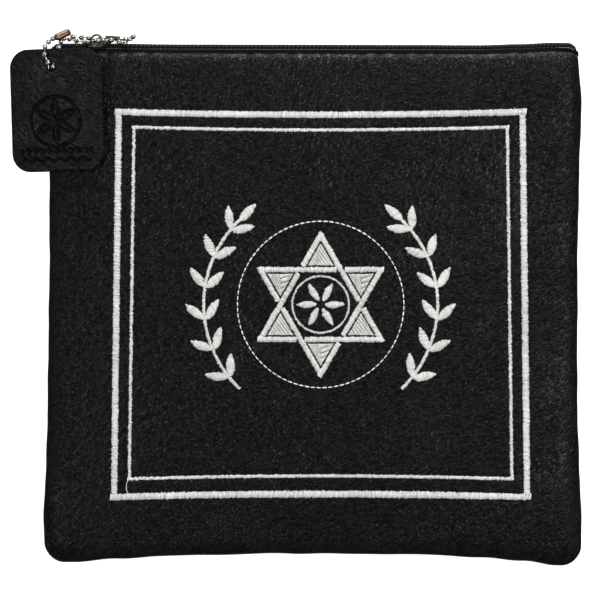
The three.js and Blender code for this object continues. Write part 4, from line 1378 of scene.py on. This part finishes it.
@dataclass
class Studio:
    """Pale floor, soft light and the camera above the pouch."""

    floor_tone: float = 0.86
    floor_shade: float = 0.985
    floor_level: float = -0.2
    floor_reach: float = 3000.0
    world: float = 0.08
    glow: float = 0.8
    lens: float = 400.0
    sensor: float = 36.0
    view: float = 267.2
    centre: Pair = (-5.57, 4.81)
    level: float = 12.0
    lamps: tuple = (("key", (-0.1, 1.9, 0.5), 0.8, 44.0), ("main", (0.78, 0.2, 1.5), 0.65, 29.0),
                    ("left", (-0.95, 0.0, 1.45), 0.8, 15.0), ("low", (-0.2, -1.6, 1.2), 1.1, 2.0))

    def floor(self) -> None:
        """Lays the floor, whose glow reaches the camera alone."""
        surface = Surface("pale floor", Roughness=0.9, Specular_IOR_Level=0.1, Emission_Color=(1, 1, 1, 1))
        seen = surface.graph.node("ShaderNodeLightPath").outputs["Is Camera Ray"]
        surface.put("Emission Strength", surface.graph.math("MULTIPLY", seen, self.glow))
        shade = surface.graph.noise(surface.place, 3.0)
        surface.tint(shade, (self.floor_tone,) * 3, (self.floor_tone * self.floor_shade,) * 3)
        x, y = np.meshgrid(*[np.linspace(-self.floor_reach, self.floor_reach, 25)] * 2)
        parts = MeshParts()
        parts.add(np.stack([x, y, np.full_like(x, self.floor_level)], -1), grid_faces(*x.shape))
        shown("floor", parts.mesh("floor", surface.material))

    def light(self) -> None:
        """Hangs the lamps and sets the plain surrounding light."""
        for name, place, size, power in self.lamps:
            data = bpy.data.lights.new(name, "AREA")
            data.shape, data.size, data.energy = "DISK", size, power
            lamp = shown(name, data)
            lamp.location = place
            lamp.rotation_euler = (-Vector(place)).to_track_quat("-Z", "Y").to_euler()
        world = bpy.data.worlds.new("studio")
        world.use_nodes = True
        light = world.node_tree.nodes["Background"].inputs
        light["Color"].default_value, light["Strength"].default_value = (1, 1, 1, 1), self.world
        bpy.context.scene.world = world

    def camera(self) -> None:
        """Puts the camera straight above the pouch."""
        data = bpy.data.cameras.new("camera")
        data.lens, data.sensor_width = self.lens, self.sensor
        made = shown("camera", data)
        away = self.level + self.view * self.lens / self.sensor
        made.location = [value * MM for value in (*self.centre, away)]
        bpy.context.scene.camera = made

    def build(self) -> None:
        """Sets the scene up."""
        self.floor()
        self.light()
        self.camera()
        bpy.context.scene.view_settings.view_transform = "Standard"


FINISHES = (
    # Each leather finish's second colour is painted shade in the grain's creases.
    LeatherFinish("black leather", (0.0034, 0.0034, 0.0036), (0.0013, 0.0013, 0.0014),
                  cell=1.2, depth=1.0, angle=-42, stretch=0.42),
    LeatherFinish("tag leather", (0.0042, 0.0042, 0.0042), (0.002, 0.002, 0.002),
                  cell=1.5, depth=0.95, angle=25, stretch=0.45),
    ThreadFinish("silver-white thread", (0.63, 0.614, 0.593), (0.43, 0.42, 0.404)),
    # Grey, lighter than the black zip: partly painted highlight where the stitches on the tapes' bends catch
    # the light.
    ThreadFinish("sewing thread with painted highlight", (0.07, 0.067, 0.062), (0.035, 0.0335, 0.031)),
    TapeFinish("black tape", (0.0026, 0.0026, 0.0027), (0.0016, 0.0016, 0.0017),
               roughness=0.8, pitch=0.7, depth=0.12, shine=0.04),
    TapeFinish("black nylon", (0.008, 0.008, 0.0085), (0.005, 0.005, 0.0055),
               roughness=0.4, pitch=3.0, depth=0.01, shine=0.12),
    MetalFinish("dark plating", (0.035, 0.032, 0.03), (0.12, 0.11, 0.1), roughness=(0.26, 0.4)),
    MetalFinish("bead plating", (0.2, 0.185, 0.165), (0.42, 0.39, 0.35), roughness=(0.2, 0.32)),
    MetalFinish("old bronze", (0.085, 0.056, 0.04), (0.16, 0.112, 0.084), roughness=(0.4, 0.52)),
)


def main() -> None:
    """Builds every piece of the pouch in order."""
    logging.basicConfig(level=logging.INFO, format="%(name)s: %(message)s")
    effects = Effects()
    leather, tag, thread, sewing, tape, nylon, metal, bead, bronze = (
        finish.make(effects) for finish in FINISHES)
    LeatherPanel(Side.FRONT, cell=1.35).build("leather_front", leather, "front_panel")
    LeatherPanel(Side.BACK, cell=3.0).build("leather_back", leather, "back_panel")
    StitchedBorder().build(thread)
    StitchedOrnament().build(thread)
    ZipFastener().build(tape, nylon, metal, sewing)
    BallChain().build(bead, bronze)
    LeatherFob().build(tag)
    Studio().build()
    LOG.info("sizes written")


if __name__ == "__main__":
    main()
